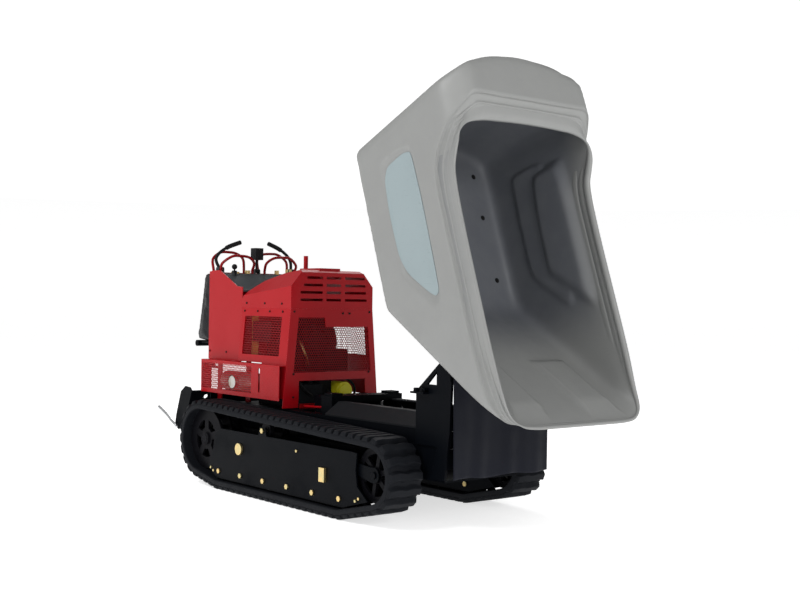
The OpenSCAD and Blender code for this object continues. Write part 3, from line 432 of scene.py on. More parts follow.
def wall_distance(ray, wall, sharp):
    """Distance from the heart of the tub to its wall along each ray. One over it is the p-norm of one over
    the distances to the flat walls and to the rear wall, bowed as a parabola, which rounds all their edges."""
    nearness = np.zeros(ray.shape[:-1])
    for normal, point in WALLS:
        n = np.asarray(normal, float)
        n = n / np.linalg.norm(n)
        reach = n @ (np.asarray(point, float) - HEART) - wall
        nearness += (np.maximum(ray @ n, 0) / reach) ** sharp
    bow = REAR_BOW * ray[..., 1] ** 2
    slope = -REAR_LEAN * ray[..., 2] - ray[..., 0]
    gap = -REAR_PLACE - REAR_LEAN * HEART[2] - HEART[0] + wall
    rear = (slope + np.sqrt(np.maximum(slope ** 2 - 4 * bow * gap, 0))) / (-2 * gap)
    nearness += np.maximum(rear, 0) ** sharp
    return nearness ** (-1 / sharp)


def on_wall(ray, wall, sharp):
    """The points where unit rays from the heart meet the wall."""
    return HEART + ray * wall_distance(ray, wall, sharp)[..., None]


def round_mouth(stations, count):
    """The closed curve of a mouth edge: its half from lip to rear, and the same half mirrored back."""
    half = through(stations, count // 2 + 1)
    half[:, 1] = np.maximum(half[:, 1], 0)
    half[0, 1] = half[-1, 1] = 0
    back = half[-2:0:-1] * (1, -1, 1)
    return np.vstack([half, back])


def sweep_down(edge, rows, wall, sharp):
    """A shell from an edge curve to the floor: each ray turns evenly from the edge to straight down."""
    ray = edge - HEART
    ray /= np.linalg.norm(ray, axis=1, keepdims=True)
    angle = np.arccos(np.clip(-ray[:, 2], -1, 1))
    level = ray - (ray[:, 2:] * (0, 0, 1))
    level /= np.linalg.norm(level, axis=1, keepdims=True)
    t = np.linspace(1, 0, rows + 1)[:-1][:, None] * angle
    rays = level * np.sin(t)[..., None] + DOWN * np.cos(t)[..., None]
    return on_wall(rays, wall, sharp)


def panel_relief(p, *reliefs):
    """Moves the side walls in by the deepest of some reliefs: an outline, its depth, and the slope's width."""
    moves = [depth * smoothstep(polygon_depth(p[..., 0], p[..., 2], corners) / bevel)
             for corners, depth, bevel in reliefs]
    p[..., 1] -= np.sign(p[..., 1]) * np.maximum.reduce(moves) * (np.abs(p[..., 1]) > SIDES_FROM)


def to_world(p):
    """From the tub lying level to its place in the frame: the pivot plus its three shares of the turned axes."""
    return PIVOT + p[..., :1] * ALONG + p[..., 2:] * SQUARE + p[..., 1:2] * np.array([0.0, 1.0, 0.0])


def chute_pads(inner, height):
    """Raises two pads on the chute: height times a mask that slopes off at the pads' four edges."""
    across = np.abs(inner[..., 1])
    mask = np.minimum(
        smoothstep(np.minimum(inner[..., 0] - PAD_ALONG[0], PAD_ALONG[1] - inner[..., 0]) / PAD_SLOPE),
        smoothstep(np.minimum(across - PAD_ACROSS[0], PAD_ACROSS[1] - across) / PAD_SLOPE))
    on_chute = np.abs((inner - LIP) @ CHUTE_NORMAL) < 0.04
    inner -= (mask * on_chute * height)[..., None] * CHUTE_NORMAL


def stepped_band(foot, mouth):
    """The band between two edge curves: shares of the way across it, stood out square to it by the beads."""
    width = mouth - foot
    tangent = np.roll(mouth, -1, axis=0) - np.roll(mouth, 1, axis=0)
    stand = np.cross(width, tangent)
    stand /= np.linalg.norm(stand, axis=1, keepdims=True)
    thin = np.clip(np.linalg.norm(width, axis=1) / 0.085, 0.25, 1)[:, None]
    return foot + BEADS[:, :1, None] * width + BEADS[:, 1:, None] * (thin * stand)


def make_tub(sizes, finish):
    """One closed skin: pole under the floor, outer walls, stepped band, mouth, inner walls, pole on the floor."""
    count, rows = sizes.round_steps, sizes.wall_steps
    mouth = round_mouth(MOUTH, count)
    outer = sweep_down(round_mouth(BAND, count), rows, 0.0, EDGE)
    panel_relief(outer, EMBOSSED)
    inner = sweep_down(mouth, rows, sizes.wall, INNER_EDGE)
    fade = np.exp(-(np.arange(rows) / 3.0) ** 2)[:, None, None]
    inner = inner * (1 - fade) + mouth * fade
    panel_relief(inner, EMBOSSED, (INSET, sizes.inset_depth, INSET_SLOPE))
    chute_pads(inner, sizes.pad_height)
    rings = np.concatenate([outer[::-1], stepped_band(outer[0], mouth)[1:], inner[1:]])
    poles = np.stack([on_wall(DOWN, 0.0, EDGE), on_wall(DOWN, sizes.wall, INNER_EDGE)])
    points = np.vstack([to_world(rings).reshape(-1, 3), to_world(poles)])
    total = len(rings) * count
    faces = [*grid_faces(len(rings), count, closed_columns=True).tolist(),
             *fan(0, count, total, turned=True).tolist(), *fan(total - count, count, total + 1).tolist()]
    piece = new_object("tub_shell", points, faces, finish)
    # Painted shade inside the tub: none on the outside and band, rising from below the mouth and from behind the chute,
    # full at the floor's pole.
    painted_shade = np.zeros(len(points))
    below_mouth = smoothstep(np.arange(rows - 1) / INSIDE_SHADE_ROWS)[:, None]
    behind_chute = smoothstep((INSIDE_SHADE_FROM - inner[1:, :, 0]) / INSIDE_SHADE_RUN)
    painted_shade[rows * count + (len(BEADS) - 1) * count:total] = (below_mouth * behind_chute).ravel()
    painted_shade[-1] = 1
    piece.data.attributes.new("painted_shade", "FLOAT", "POINT").data.foreach_set("value", painted_shade.astype(np.float32))
    seat(outwards(piece), "tub", "tub_plastic", "tub")


def wall_point(along, up, side, lift):
    """The outer side wall at (along, up), found by the ray through it, lifted off by lift metres."""
    ray = np.stack([along, np.full_like(along, side * 0.385), up], -1) - HEART
    p = on_wall(ray / np.linalg.norm(ray, axis=-1, keepdims=True), 0.0, EDGE)
    panel_relief(p, EMBOSSED)
    p[..., 1] += side * lift
    return p


def make_decal(side, word, sizes, finish):
    """A thin panel on the embossed wall: rings shrink from a rounded outline to its middle, each on the wall."""
    outline = np.array(PANEL)
    middle = outline.mean(axis=0)
    smooth = middle + (outline - middle) * sizes.decal_share
    for _ in range(3):
        ahead = np.roll(smooth, -1, axis=0)
        smooth = np.stack([0.82 * smooth + 0.18 * ahead, 0.18 * smooth + 0.82 * ahead], 1).reshape(-1, 2)
    rings = np.linspace(1, 0.02, 22)[:, None, None] * (smooth - middle) + middle
    skin = wall_point(rings[..., 0], rings[..., 1], side, DECAL_LIFT)
    rim = wall_point(smooth[:, 0], smooth[:, 1], side, -0.001)[None]
    points = to_world(np.concatenate([rim, skin]))
    count = len(smooth)
    faces = grid_faces(len(points), count, closed_columns=True).tolist()
    faces.append(list(range((len(points) - 1) * count, len(points) * count)))
    piece = outwards(new_object("decal_panel_" + word, points, faces, finish), 40)
    if side * sum(q.normal.y * q.area for q in piece.data.polygons) < 0:
        piece.data.flip_normals()
    seat(piece, "tub", "grey_panel")


def make_tub_bolts(side, word, sizes, finish):
    """Dome heads on washers along one side of the floor: a profile turned about the floor's normal."""
    profile = np.array([(.0115, 0), (.0115, .0014), (.0080, .0018), (.0078, .0036), (.0056, .0056), (.0026, .0066)])
    count = 20
    turn = np.arange(count) * 2 * math.pi / count
    faces = grid_faces(len(profile), count, closed_columns=True).tolist()
    faces += [list(range((len(profile) - 1) * count, len(profile) * count)), list(range(count - 1, -1, -1))]
    for number, along in enumerate(BOLTS_ALONG):
        ray = np.array([along, side * BOLTS_ACROSS, -0.165]) - HEART
        foot = on_wall(ray / np.linalg.norm(ray), sizes.wall, INNER_EDGE)
        ring = np.stack([foot[0] + profile[:, :1] * np.cos(turn), foot[1] + profile[:, :1] * np.sin(turn),
                         foot[2] - 0.0005 + profile[:, 1:] + 0 * turn], -1)
        piece = new_object(f"tub_bolt_{word}_{number + 1}", to_world(ring), faces, finish, smooth=False)
        seat(outwards(piece, 35), "tub", "black_screws")


# ---------------------------------------------------------------- the belts


IDLER_X, ROLLER_Z = 0.212, 0.086
# Wheels inside a belt, in order round it: middle x, middle z and radius.
WHEELS = [(IDLER_X - 1.336, 0.223, 0.147), (IDLER_X - 1.168, ROLLER_Z, 0.043),
          (IDLER_X - 0.208, ROLLER_Z, 0.043), (IDLER_X, 0.206, 0.114)]
BELT_MIDDLE, BELT_HALF = 0.355, 0.085
SKIN = 0.0245  # the height that the feet of the tread bars keep
ARC_STEPS = 400


def belt_course(count):
    """Points and outward normals at even steps of a belt's length: straight runs tangent to the wheels, and arcs."""
    wheels = np.array(WHEELS) + (DATUM[0], 0, 0)
    c, r = wheels[:, :2], wheels[:, 2]
    d = np.roll(c, -1, axis=0) - c
    span = np.linalg.norm(d, axis=1)
    u = d / span[:, None]
    k = (r - np.roll(r, -1)) / span
    normal = np.stack([u[:, 1], -u[:, 0]], -1) * np.sqrt(1 - k ** 2)[:, None] + u * k[:, None]
    points, normals = [], []
    for i in range(4):
        j = (i + 1) % 4
        start, end = c[i] + r[i] * normal[i], c[j] + r[j] * normal[i]
        t = np.linspace(0, 1, ARC_STEPS)[:, None]
        points.append(start + (end - start) * t)
        normals.append(np.repeat(normal[i][None], ARC_STEPS, 0))
        a0, a1 = math.atan2(*normal[i][::-1]), math.atan2(*normal[j][::-1])
        a = np.linspace(a0, a0 + (a1 - a0) % (2 * math.pi), ARC_STEPS)
        way = np.stack([np.cos(a), np.sin(a)], -1)
        points.append(c[j] + r[j] * way)
        normals.append(way)
    p, n = np.vstack(points), np.vstack(normals)
    length = np.concatenate([[0], np.cumsum(np.linalg.norm(np.diff(p, axis=0), axis=1))])
    s = np.arange(count) * length[-1] / count
    p = np.stack([np.interp(s, length, p[:, 0]), np.interp(s, length, p[:, 1])], -1)
    n = np.stack([np.interp(s, length, n[:, 0]), np.interp(s, length, n[:, 1])], -1)
    return p, n / np.linalg.norm(n, axis=1, keepdims=True)


def make_belt(side, name, node, sizes, finish):
    """The belt's rounded section carried round its course, with zigzag tread bars outside and tapered lugs inside."""
    middle, half = side * BELT_MIDDLE, BELT_HALF
    section = np.array([(-half, .003), (-half + .003, 0), (half - .003, 0), (half, .003), (half, .020),
                        (half - .002, .0235), (half - .007, .025), (-half + .007, .025), (-half + .002, .0235),
                        (-half, .020)])
    p, n = belt_course(360)
    ring = np.stack([p[:, None, 0] + n[:, None, 0] * section[:, 1],
                     np.repeat(middle + section[None, :, 0], len(p), 0),
                     p[:, None, 1] + n[:, None, 1] * section[:, 1]], -1)
    points, faces = [ring.reshape(-1, 3)], [grid_faces(*ring.shape[:2], closed_rows=True, closed_columns=True)]

    def repeat(count, across, outline, zigzag, squeeze):
        """Bars: an outline of (run, rise) at stations across the belt, shifted by zigzag and lowered by squeeze."""
        c, m = belt_course(count)
        run = np.stack([-m[:, 1], m[:, 0]], -1)
        e = outline[None, None, :, 0] + zigzag[None, :, None] + 0 * c[:, :1, None]
        foot = SKIN * (outline[:, 1] > 0.02)
        o = foot + (outline[:, 1] - foot) * squeeze[:, None]
        o = np.broadcast_to(o[None], (count, *o.shape))
        x = c[:, None, None, 0] + m[:, None, None, 0] * o + run[:, None, None, 0] * e
        z = c[:, None, None, 1] + m[:, None, None, 1] * o + run[:, None, None, 1] * e
        y = np.broadcast_to((middle + across)[None, :, None], x.shape)
        stations, corners = len(across), len(outline)
        one = grid_faces(stations, corners, closed_columns=True)
        base = sum(len(q) for q in points)
        shift = base + np.arange(count)[:, None, None] * stations * corners
        points.append(np.stack([x, y, z], -1).reshape(-1, 3))
        faces.append((one[None] + shift).reshape(-1, 4))
        k = np.arange(corners // 2 - 1)
        for end in (0, (stations - 1) * corners):
            cap = end + np.stack([k, k + 1, corners - 2 - k, corners - 1 - k], -1)
            faces.append((cap[None] + shift).reshape(-1, 4))

    w = sizes.bar_width / 2
    bar = np.array([(-w - .004, .0240), (-w + .001, .0300), (-w + .003, .0405), (-w + .0055, .0430),
                    (w - .0055, .0430), (w - .003, .0405), (w - .001, .0300), (w + .004, .0240)])
    across = np.array([-.0845, -.079, -.062, -.040, -.018, 0, .018, .040, .062, .079, .0845])
    zigzag = sizes.zigzag * np.array([0, 0, .5, 1, .5, 0, .5, 1, .5, 0, 0])
    squeeze = np.array([.30, .86, 1, 1, 1, 1, 1, 1, 1, .86, .30])
    repeat(72, across, bar, zigzag, squeeze)
    lug = np.array([(-.014, .001), (-.009, -.012), (-.0055, -.021), (.0055, -.021), (.009, -.012), (.014, .001)])
    lug_across = np.array([-.0145, -.012, 0, .012, .0145])
    repeat(36, lug_across, lug, np.zeros(5), np.array([.75, .96, 1, .96, .75]))
    piece = new_object(name, np.vstack(points), np.vstack(faces).tolist(), finish)
    seat(outwards(piece, 38), "chassis", "track_rubber", node)


# ---------------------------------------------------------------- soft parts


SEAM_ACROSS, SEAM_WIDTH, SEAM_DEPTH = 0.15, 0.006, 0.006
APRON_THICKNESS, BOARD_THICKNESS = 0.004, 0.004


def copy_of(node, name, finish):
    """A merged copy of a frame part's mesh as a new piece."""
    piece = bpy.data.objects.new(name, NODES[node].data.copy())
    piece.data.materials.clear()
    piece.data.materials.append(finish)
    bpy.context.scene.collection.objects.link(piece)
    bpy.context.view_layer.objects.active = piece
    return outwards(piece)


def apply_all(piece):
    """Replaces a piece's mesh by what its modifiers make of it."""
    graph = bpy.context.evaluated_depsgraph_get()
    made = bpy.data.meshes.new_from_object(piece.evaluated_get(graph))
    piece.modifiers.clear()
    piece.data = made


def make_cushion(sizes, finish):
    """Thigh cushion: the frame's pad remeshed and blown up by cloth pressure, its swell capped, then two channels
    sewn in, as deep as a bell curve of the distance to the seam."""
    piece = copy_of("thigh_pad", "thigh_cushion", finish)
    remesh = piece.modifiers.new("Remesh", "REMESH")
    remesh.mode, remesh.voxel_size = "VOXEL", sizes.voxel
    apply_all(piece)
    count = len(piece.data.vertices)
    rest = np.empty(count * 3)
    piece.data.vertices.foreach_get("co", rest)
    rest = rest.reshape(-1, 3)
    box_low, box_high = rest.min(0), rest.max(0)
    middle = (box_low + box_high) / 2
    rest = middle + (rest - middle) * (1 - sizes.swell * 1.3 / np.maximum(box_high - box_low, 0.05))
    piece.data.vertices.foreach_set("co", rest.ravel())
    cloth = piece.modifiers.new("Cloth", "CLOTH")
    cloth.settings.use_pressure = True
    cloth.settings.uniform_pressure_force = 4.0
    cloth.settings.effector_weights.gravity = 0.0
    cloth.settings.tension_stiffness = cloth.settings.compression_stiffness = 18
    cloth.collision_settings.use_collision = False
    for step in range(1, 21):
        bpy.context.scene.frame_set(step)
    apply_all(piece)
    bpy.context.scene.frame_set(1)
    blown = np.empty(count * 3)
    piece.data.vertices.foreach_get("co", blown)
    move = blown.reshape(-1, 3) - rest
    far = np.linalg.norm(move, axis=1, keepdims=True)
    blown = rest + move * np.minimum(1, sizes.swell / np.maximum(far, 1e-9))
    normal = np.empty(count * 3)
    piece.data.vertices.foreach_get("normal", normal)
    seam = np.exp(-((np.abs(blown[:, 1:2]) - SEAM_ACROSS) / SEAM_WIDTH) ** 2)
    blown -= normal.reshape(-1, 3) * seam * SEAM_DEPTH
    blown = np.clip(blown, box_low - 0.004, box_high + 0.004)
    piece.data.vertices.foreach_set("co", blown.ravel())
    smooth = piece.modifiers.new("Subdivision", "SUBSURF")
    smooth.levels = smooth.render_levels = 1
    piece.data.polygons.foreach_set("use_smooth", [True] * len(piece.data.polygons))
    seat(piece, "chassis", "pad_vinyl", "thigh_pad")


def thicken(piece, thickness):
    """Gives a grid sheet its thickness, half to each side."""
    wall = piece.modifiers.new("Thickness", "SOLIDIFY")
    wall.thickness, wall.offset = thickness, 0.0


def make_apron(sizes, finish):
    """Hung rubber sheet: a grid whose forward place is a sum of sines that grow towards the free edge."""
    low, high = (np.array(v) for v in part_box("apron"))
    across, down = np.meshgrid(np.linspace(0, 1, 90), np.linspace(0, 1, 60))
    y = low[1] + 0.004 + across * (high[1] - low[1] - 0.008)
    z = high[2] - down * (high[2] - low[2])
    wave = (np.sin(across * 23.0 + down * 1.5) * 0.5 + np.sin(across * 9.0 + 1.1) * 0.8
            + np.sin(across * 41 + 2 + down) * 0.2)
    x = (low[0] + high[0]) / 2 + 0.0035 + sizes.apron_wave * wave * down ** 0.8 * 0.8
    z = z + 0.004 * down * np.sin(across * 13.0)
    piece = new_object("apron_sheet", np.stack([x, y, z], -1), grid_faces(60, 90).tolist(), finish)
    seat(piece, "chassis", "apron_rubber", "apron")
    thicken(piece, APRON_THICKNESS)


# ---------------------------------------------------------------- small fittings


LEVER_GRIP = np.array([(-1.336, .168, 1.169), (-1.3353, .150, 1.178), (-1.334, .130, 1.186), (-1.333, .107, 1.194),
                       (-1.332, .086, 1.2015)])
GRIP_RADIUS = 0.0115
# Radius, finish and stations of each hose, from the back of the engine bay forwards.
HOSES = [
    (.007, "hose_rubber", [(-.700, .02, .470), (-.650, .06, .430), (-.600, .02, .415), (-.520, -.05, .418),
                           (-.440, -.06, .425)]),
    (.006, "hose_rubber", [(-.690, -.10, .560), (-.668, -.16, .520), (-.662, -.12, .470), (-.690, -.05, .440)]),
    (.006, "hose_rubber", [(-.680, .10, .540), (-.660, .15, .500), (-.665, .16, .450), (-.700, .13, .420)]),
    (.005, "yellow_zinc", [(-.700, -.14, .712), (-.668, -.15, .690), (-.662, -.13, .640), (-.690, -.10, .600)]),
    (.0055, "red_paint", [(-.620, -.165, .409), (-.520, -.150, .412), (-.420, -.125, .416), (-.330, -.110, .410)]),
    (.0055, "red_paint", [(-.590, -.120, .403), (-.470, -.090, .405), (-.350, -.075, .404)]),
]
BOARD_X, BOARD_Z, BOARD_Y = (-0.664, -0.604), (0.632, 0.832), -0.206


def make_board(finish):
    """Insulating board behind the right side grille: a grid sheet, bowed by a half sine across its height."""
    along, up = np.meshgrid(np.linspace(*BOARD_X, 12), np.linspace(*BOARD_Z, 24))
    bow = np.sin((up - BOARD_Z[0]) / (BOARD_Z[1] - BOARD_Z[0]) * math.pi)
    across = BOARD_Y + 0.004 * bow + 0.001 * np.sin(along * 150)
    piece = new_object("side_board", np.stack([along, across, up], -1), grid_faces(24, 12).tolist(), finish)
    seat(piece, "chassis", "grey_panel")
    thicken(piece, BOARD_THICKNESS)


# ---------------------------------------------------------------- stage


# Name, place, the point it faces, size and watts of each soft light.
LIGHTS = [("key", (-0.5, -5.0, 5.2), (0, 0, 0.8), 2.6, 172), ("front", (6.5, -1.0, 2.6), (0.5, 0, 0.7), 2.2, 135),
          ("rim", (-4.5, 3.5, 4.5), (0, 0, 1.0), 3.0, 70)]
CAMERA_AZIMUTH, CAMERA_ELEVATION, CAMERA_ROLL = (math.radians(v) for v in (50.419, -0.185, 0.852))
CAMERA_PLACE = DATUM + (3.904, -3.333, 0.906)
SENSOR, LENS, SHIFT = 36, 52.8273, -0.00277
LIGHT_GIVEN, LIGHT_SEEN = 0.36, 1.1


def stand(data, name, place, right, up, back):
    """Links a new lamp or camera at its place, turned to three axes square to each other."""
    holder = bpy.data.objects.new(name, data)
    bpy.context.scene.collection.objects.link(holder)
    holder.matrix_world = Matrix([[right[i], up[i], back[i], place[i]] for i in range(3)] + [[0, 0, 0, 1]])
    return holder


def level_right(back):
    """The unit vector to the right, level with the ground, of something that faces away from back."""
    right = np.cross(-back, (0.0, 0.0, 1.0))
    return right / np.linalg.norm(right)


def add_light(name, place, aim, size, watts):
    """A round soft light that faces the point aim."""
    lamp = bpy.data.lights.new(name, "AREA")
    lamp.shape, lamp.size, lamp.energy = "DISK", size, watts
    back = np.subtract(place, aim).astype(float)
    back /= np.linalg.norm(back)
    right = level_right(back)
    stand(lamp, name, place, right, np.cross(right, -back), back)


def make_camera():
    """The camera stands to the right front of the tub, almost level and rolled a little."""
    level = math.cos(CAMERA_ELEVATION)
    back = np.array([math.sin(CAMERA_AZIMUTH) * level, -math.cos(CAMERA_AZIMUTH) * level, math.sin(CAMERA_ELEVATION)])
    right = level_right(back)
    up = np.cross(right, -back)
    cos, sin = math.cos(CAMERA_ROLL), math.sin(CAMERA_ROLL)
    camera = bpy.data.cameras.new("camera")
    camera.lens, camera.sensor_width, camera.shift_y = LENS, SENSOR, SHIFT
    camera.clip_start, camera.clip_end = 0.05, 100
    bpy.context.scene.camera = stand(camera, "camera", CAMERA_PLACE, cos * right + sin * up, cos * up - sin * right,
                                     back)


def make_floor(finish):
    """A wide floor, level under the machine and curled up far away: its height is a smooth step of the radius."""
    radius = np.concatenate([np.linspace(0.05, 3, 14), np.linspace(3.5, 60, 50)])[:, None]
    turn = np.arange(72) * math.pi / 36
    rise = smoothstep((radius - 30) / 30) * 6
    points = np.stack([radius * np.cos(turn), radius * np.sin(turn), rise + 0 * turn - 0.0005], -1)
    faces = [*grid_faces(len(radius), len(turn), closed_columns=True).tolist(), list(range(len(turn)))]
    floor = outwards(new_object("floor", points, faces, finish, smooth=False))
    if sum(q.normal.z for q in floor.data.polygons) < 0:
        floor.data.flip_normals()


def floor_paint(name):
    f = Finish(name, 0.9, Specular_IOR_Level=0.0, Emission_Color=(1, 1, 1, 1), Emission_Strength=0.66)
    speck = f.noise(3.0, 4.0).span(0.3, 0.7)
    f.relief(f.noise(90.0, 3.0), 0.0002)
    return f.done(f.blend(speck, (0.93, 0.93, 0.93), (0.90, 0.90, 0.905)))


def make_world(light, seen):
    """White surroundings: light is what they give the object, seen how bright they look behind it."""
    world = bpy.context.scene.world or bpy.data.worlds.new("studio")
    bpy.context.scene.world = world
    world.use_nodes = True
    tree = world.node_tree
    back, path = tree.nodes["Background"], tree.nodes.new("ShaderNodeLightPath")
    strength = tree.nodes.new("ShaderNodeMapRange")
    tree.links.new(path.outputs["Is Camera Ray"], strength.inputs["Value"])
    strength.inputs["To Min"].default_value, strength.inputs["To Max"].default_value = light, seen
    tree.links.new(strength.outputs[0], back.inputs["Strength"])
    back.inputs["Color"].default_value = (1, 1, 1, 1)


# ---------------------------------------------------------------- settings, operators and panel


def metres(name, description, default, low, high):
    return bpy.props.FloatProperty(name=name, description=description, default=default, min=low, max=high,
                                   subtype="DISTANCE", unit="LENGTH", precision=4)


def steps(name, description, default, low, high):
    return bpy.props.IntProperty(name=name, description=description, default=default, min=low, max=high)


def colour(name, description, default):
    return bpy.props.FloatVectorProperty(name=name, description=description, default=default, size=3,
                                         min=0.0, max=1.0, subtype="COLOR")


class BarrowTub(bpy.types.PropertyGroup):
    wall: metres("Wall", "Thickness of the tub's wall", 0.0095, 0.005, 0.015)
    inset_depth: metres("Inner panel", "How far the inner side panels stand in", 0.028, 0.0, 0.04)
    pad_height: metres("Chute pads", "Height of the two pads on the chute", 0.015, 0.0, 0.02)
    decal_share: bpy.props.FloatProperty(name="Decal size", description="Decal panel's size as a share of its recess",
                                         default=0.90, min=0.5, max=0.95)
    round_steps: steps("Steps round", "Points round the mouth", 440, 60, 600)
    wall_steps: steps("Steps down", "Points down a wall", 98, 20, 160)


class BarrowBelt(bpy.types.PropertyGroup):
    bar_width: metres("Tread bar", "Width of a tread bar at its foot", 0.037, 0.02, 0.045)
    zigzag: metres("Zigzag", "How far a tread bar steps to and fro", 0.006, 0.0, 0.012)


class BarrowSoft(bpy.types.PropertyGroup):
    voxel: metres("Voxel", "Mesh size of the cushion", 0.006, 0.004, 0.01)
    swell: metres("Swell", "Most that the cushion's skin moves out", 0.007, 0.0, 0.016)
    apron_wave: metres("Apron waves", "Depth of the apron's folds at its free edge", 0.006, 0.0, 0.01)


class BarrowColours(bpy.types.PropertyGroup):
    red: colour("Cover", "Red of the engine cover", (0.41, 0.004, 0.009))
    tub: colour("Tub", "Grey of the tub", (0.268, 0.272, 0.266))
    # Painted shade: the darker grey that the inside of the tub is shaded towards.
    tub_inside_shade: colour("Tub inside", "Shaded grey inside the tub", (0.115, 0.122, 0.137))
    decal: colour("Decal", "Grey-blue of the decal panel", (0.30, 0.36, 0.375))
    rubber: colour("Rubber", "Black of the belts", (0.006, 0.007, 0.0095))
    yellow: colour("Filter", "Yellow of the oil filter", (0.78, 0.72, 0.02))


FINISHES = {}


def finish(slot_name):
    """The finish of a material slot, made when it is first asked for."""
    paint = bpy.context.scene.barrow_colours
    recipes = {
        "red_paint": lambda n: glossy_paint(n, tuple(paint.red)),
        "dark_red": lambda n: glossy_paint(n, shade(paint.red, 0.62), roughness=0.24),
        "black_paint": lambda n: satin_black(n, (0.0020, 0.0027, 0.0042), roughness=0.4),
        "dark_casting": lambda n: satin_black(n, (0.011, 0.011, 0.013), 150.0, 0.0005, 0.5),
        "black_plastic": lambda n: satin_black(n, (0.015, 0.016, 0.018), 420.0, 0.0003, 0.5, 0.2),
        "wheel_black": lambda n: satin_black(n, (0.005, 0.005, 0.0065), 240.0, 0.0001, 0.34),
        "black_screws": lambda n: satin_black(n, (0.012, 0.012, 0.012), 500.0, 0.0001, 0.34, 0.1),
        "track_rubber": lambda n: rubber(n, tuple(paint.rubber)),
        "grip_rubber": lambda n: rubber(n, (0.010, 0.010, 0.011), 520.0, 0.0003, 0.15, 0.5),
        "apron_rubber": lambda n: rubber(n, (0.0045, 0.0055, 0.011), 700.0, 0.0001, 0.15, 0.42),
        "hose_rubber": lambda n: rubber(n, (0.012, 0.012, 0.013), 600.0, 0.0002, 0.2, 0.4),
        "yellow_zinc": lambda n: metal(n, (0.80, 0.58, 0.25), (0.62, 0.60, 0.33), 0.26),
        "muffler_steel": lambda n: metal(n, (0.62, 0.60, 0.57), (0.45, 0.38, 0.30), 0.36, (14.0, 1.0, 1.0)),
        "grey_aluminium": lambda n: metal(n, (0.60, 0.61, 0.63), (0.45, 0.46, 0.48), 0.38, (3.0, 3.0, 3.0), 0.0002),
        "bright_steel": lambda n: metal(n, (0.78, 0.79, 0.80), (0.62, 0.63, 0.65), 0.14),
        "yellow_paint": lambda n: glossy_paint(n, tuple(paint.yellow), roughness=0.25),
        "tan_board": lambda n: satin_black(n, (0.34, 0.19, 0.05), 180.0, 0.0003, 0.6, 0.2),
        "grey_panel": lambda n: satin_black(n, (0.065, 0.073, 0.078), 320.0, 0.0002, 0.6, 0.25),
        "decal_film": lambda n: glossy_paint(n, tuple(paint.decal), 0.00003, 0.34, 0.1),
        "pad_vinyl": lambda n: vinyl(n, (0.007, 0.007, 0.009)),
        "tub_plastic": lambda n: moulded_tub(n, tuple(paint.tub), tuple(paint.tub_inside_shade)),
        "pierced_red": lambda n: pierced_sheet(n, shade(paint.red, 0.8), 0.0130, 0.0108),
        "guard_red": lambda n: pierced_sheet(n, tuple(paint.red), 0.0120, 0.0094, (-0.975, -0.515, 0.455, 0.585)),
    }
    if slot_name not in FINISHES:
        FINISHES[slot_name] = recipes[slot_name](slot_name)
    return FINISHES[slot_name]


class BARROW_OT_finishes(bpy.types.Operator):
    """Give every part of the frame its finish"""

    bl_idname = "barrow.finishes"
    bl_label = "Frame finishes"
    special = {"cover_mesh": "pierced_red", "guard_hoops": "dark_red", "muffler_guard": "guard_red"}

    def execute(self, context):
        for part in frame["record"]["subparts"]:
            node = NODES[part["node"]]
            made = finish(self.special.get(node.name, part["material_slot"]))
            for slot in node.material_slots:
                slot.material = made
            if not node.material_slots:
                node.data.materials.append(made)
        return {"FINISHED"}


class BARROW_OT_tub(bpy.types.Operator):
    """Build the tub with its band, decal panels and bolts"""

    bl_idname = "barrow.tub"
    bl_label = "Tub"

    def execute(self, context):
        sizes = context.scene.barrow_tub
        make_tub(sizes, finish("tub_plastic"))
        for side, word in SIDES:
            make_decal(side, word, sizes, finish("decal_film"))
        for side, word in SIDES:
            make_tub_bolts(side, word, sizes, finish("black_screws"))
        return {"FINISHED"}


class BARROW_OT_belts(bpy.types.Operator):
    """Build the two rubber belts"""

    bl_idname = "barrow.belts"
    bl_label = "Belts"

    def execute(self, context):
        for side, word in SIDES:
            make_belt(side, "belt_" + word, "track_" + word, context.scene.barrow_belt, finish("track_rubber"))
        return {"FINISHED"}


class BARROW_OT_cushion(bpy.types.Operator):
    """Blow up the thigh cushion"""

    bl_idname = "barrow.cushion"
    bl_label = "Thigh cushion"

    def execute(self, context):
        make_cushion(context.scene.barrow_soft, finish("pad_vinyl"))
        return {"FINISHED"}


class BARROW_OT_apron(bpy.types.Operator):
    """Hang the rubber apron"""

    bl_idname = "barrow.apron"
    bl_label = "Apron"

    def execute(self, context):
        make_apron(context.scene.barrow_soft, finish("apron_rubber"))
        return {"FINISHED"}


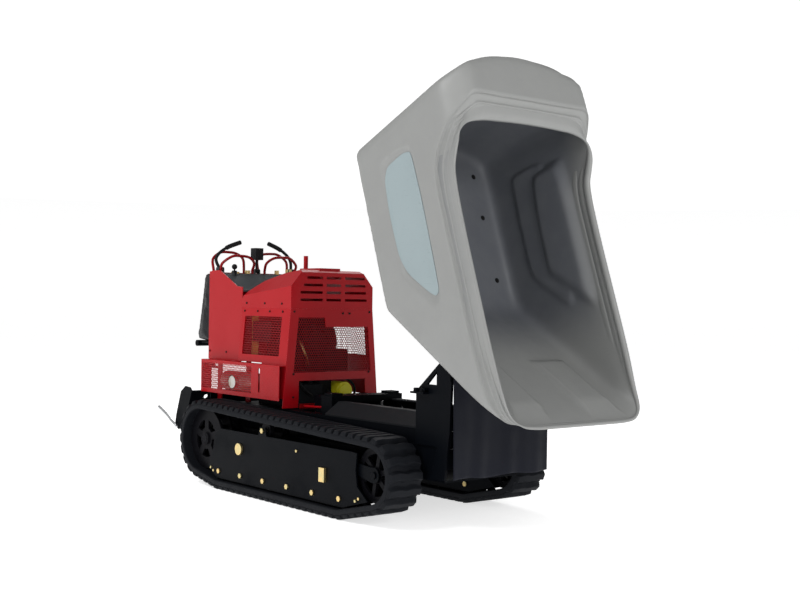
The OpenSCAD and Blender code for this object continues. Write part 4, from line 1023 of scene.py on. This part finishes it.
class BARROW_OT_fittings(bpy.types.Operator):
    """Add lever grips, the board behind the side grille and the hoses in the engine bay"""

    bl_idname = "barrow.fittings"
    bl_label = "Grips, board and hoses"

    def execute(self, context):
        for side, word in SIDES:
            grip = LEVER_GRIP * (1, side, 1) + DATUM
            tube("grip_" + word, grip, GRIP_RADIUS, finish("grip_rubber"), "traction_lever_" + word, "grip_rubber",
                 36)
        make_board(finish("tan_board"))
        for number, (radius, kind, stations) in enumerate(HOSES):
            tube(f"hose_{number + 1}", stations + DATUM, radius, finish(kind), "chassis", "black_plastic")
        return {"FINISHED"}


class BARROW_OT_stage(bpy.types.Operator):
    """Set the floor, the lights and the camera"""

    bl_idname = "barrow.stage"
    bl_label = "Studio"

    def execute(self, context):
        make_camera()
        make_floor(floor_paint("floor_paint"))
        make_world(LIGHT_GIVEN, LIGHT_SEEN)
        for light in LIGHTS:
            add_light(*light)
        context.scene.view_settings.view_transform = "Standard"
        return {"FINISHED"}


ORDER = ("stage", "finishes", "tub", "belts", "cushion", "apron", "fittings")


class BARROW_PT_panel(bpy.types.Panel):
    """Sizes, colours and build steps of the power wheelbarrow"""

    bl_idname = "BARROW_PT_panel"
    bl_label = "Wheelbarrow"
    bl_space_type = "VIEW_3D"
    bl_region_type = "UI"
    bl_category = "Wheelbarrow"

    def draw(self, context):
        for group in GROUPS:
            holder = getattr(context.scene, group)
            for key in type(holder).__annotations__:
                self.layout.prop(holder, key)
        for step in ORDER:
            self.layout.operator("barrow." + step)


GROUPS = {"barrow_tub": BarrowTub, "barrow_belt": BarrowBelt, "barrow_soft": BarrowSoft,
          "barrow_colours": BarrowColours}
CLASSES = (*GROUPS.values(), BARROW_OT_stage, BARROW_OT_finishes, BARROW_OT_tub, BARROW_OT_belts, BARROW_OT_cushion,
           BARROW_OT_apron, BARROW_OT_fittings, BARROW_PT_panel)


def register():
    for kind in CLASSES:
        bpy.utils.register_class(kind)
    for name, group in GROUPS.items():
        setattr(bpy.types.Scene, name, bpy.props.PointerProperty(type=group))


def unregister():
    for name in GROUPS:
        delattr(bpy.types.Scene, name)
    for kind in reversed(CLASSES):
        bpy.utils.unregister_class(kind)


def main():
    register()
    for step in ORDER:
        getattr(bpy.ops.barrow, step)()


if __name__ == "__main__":
    main()
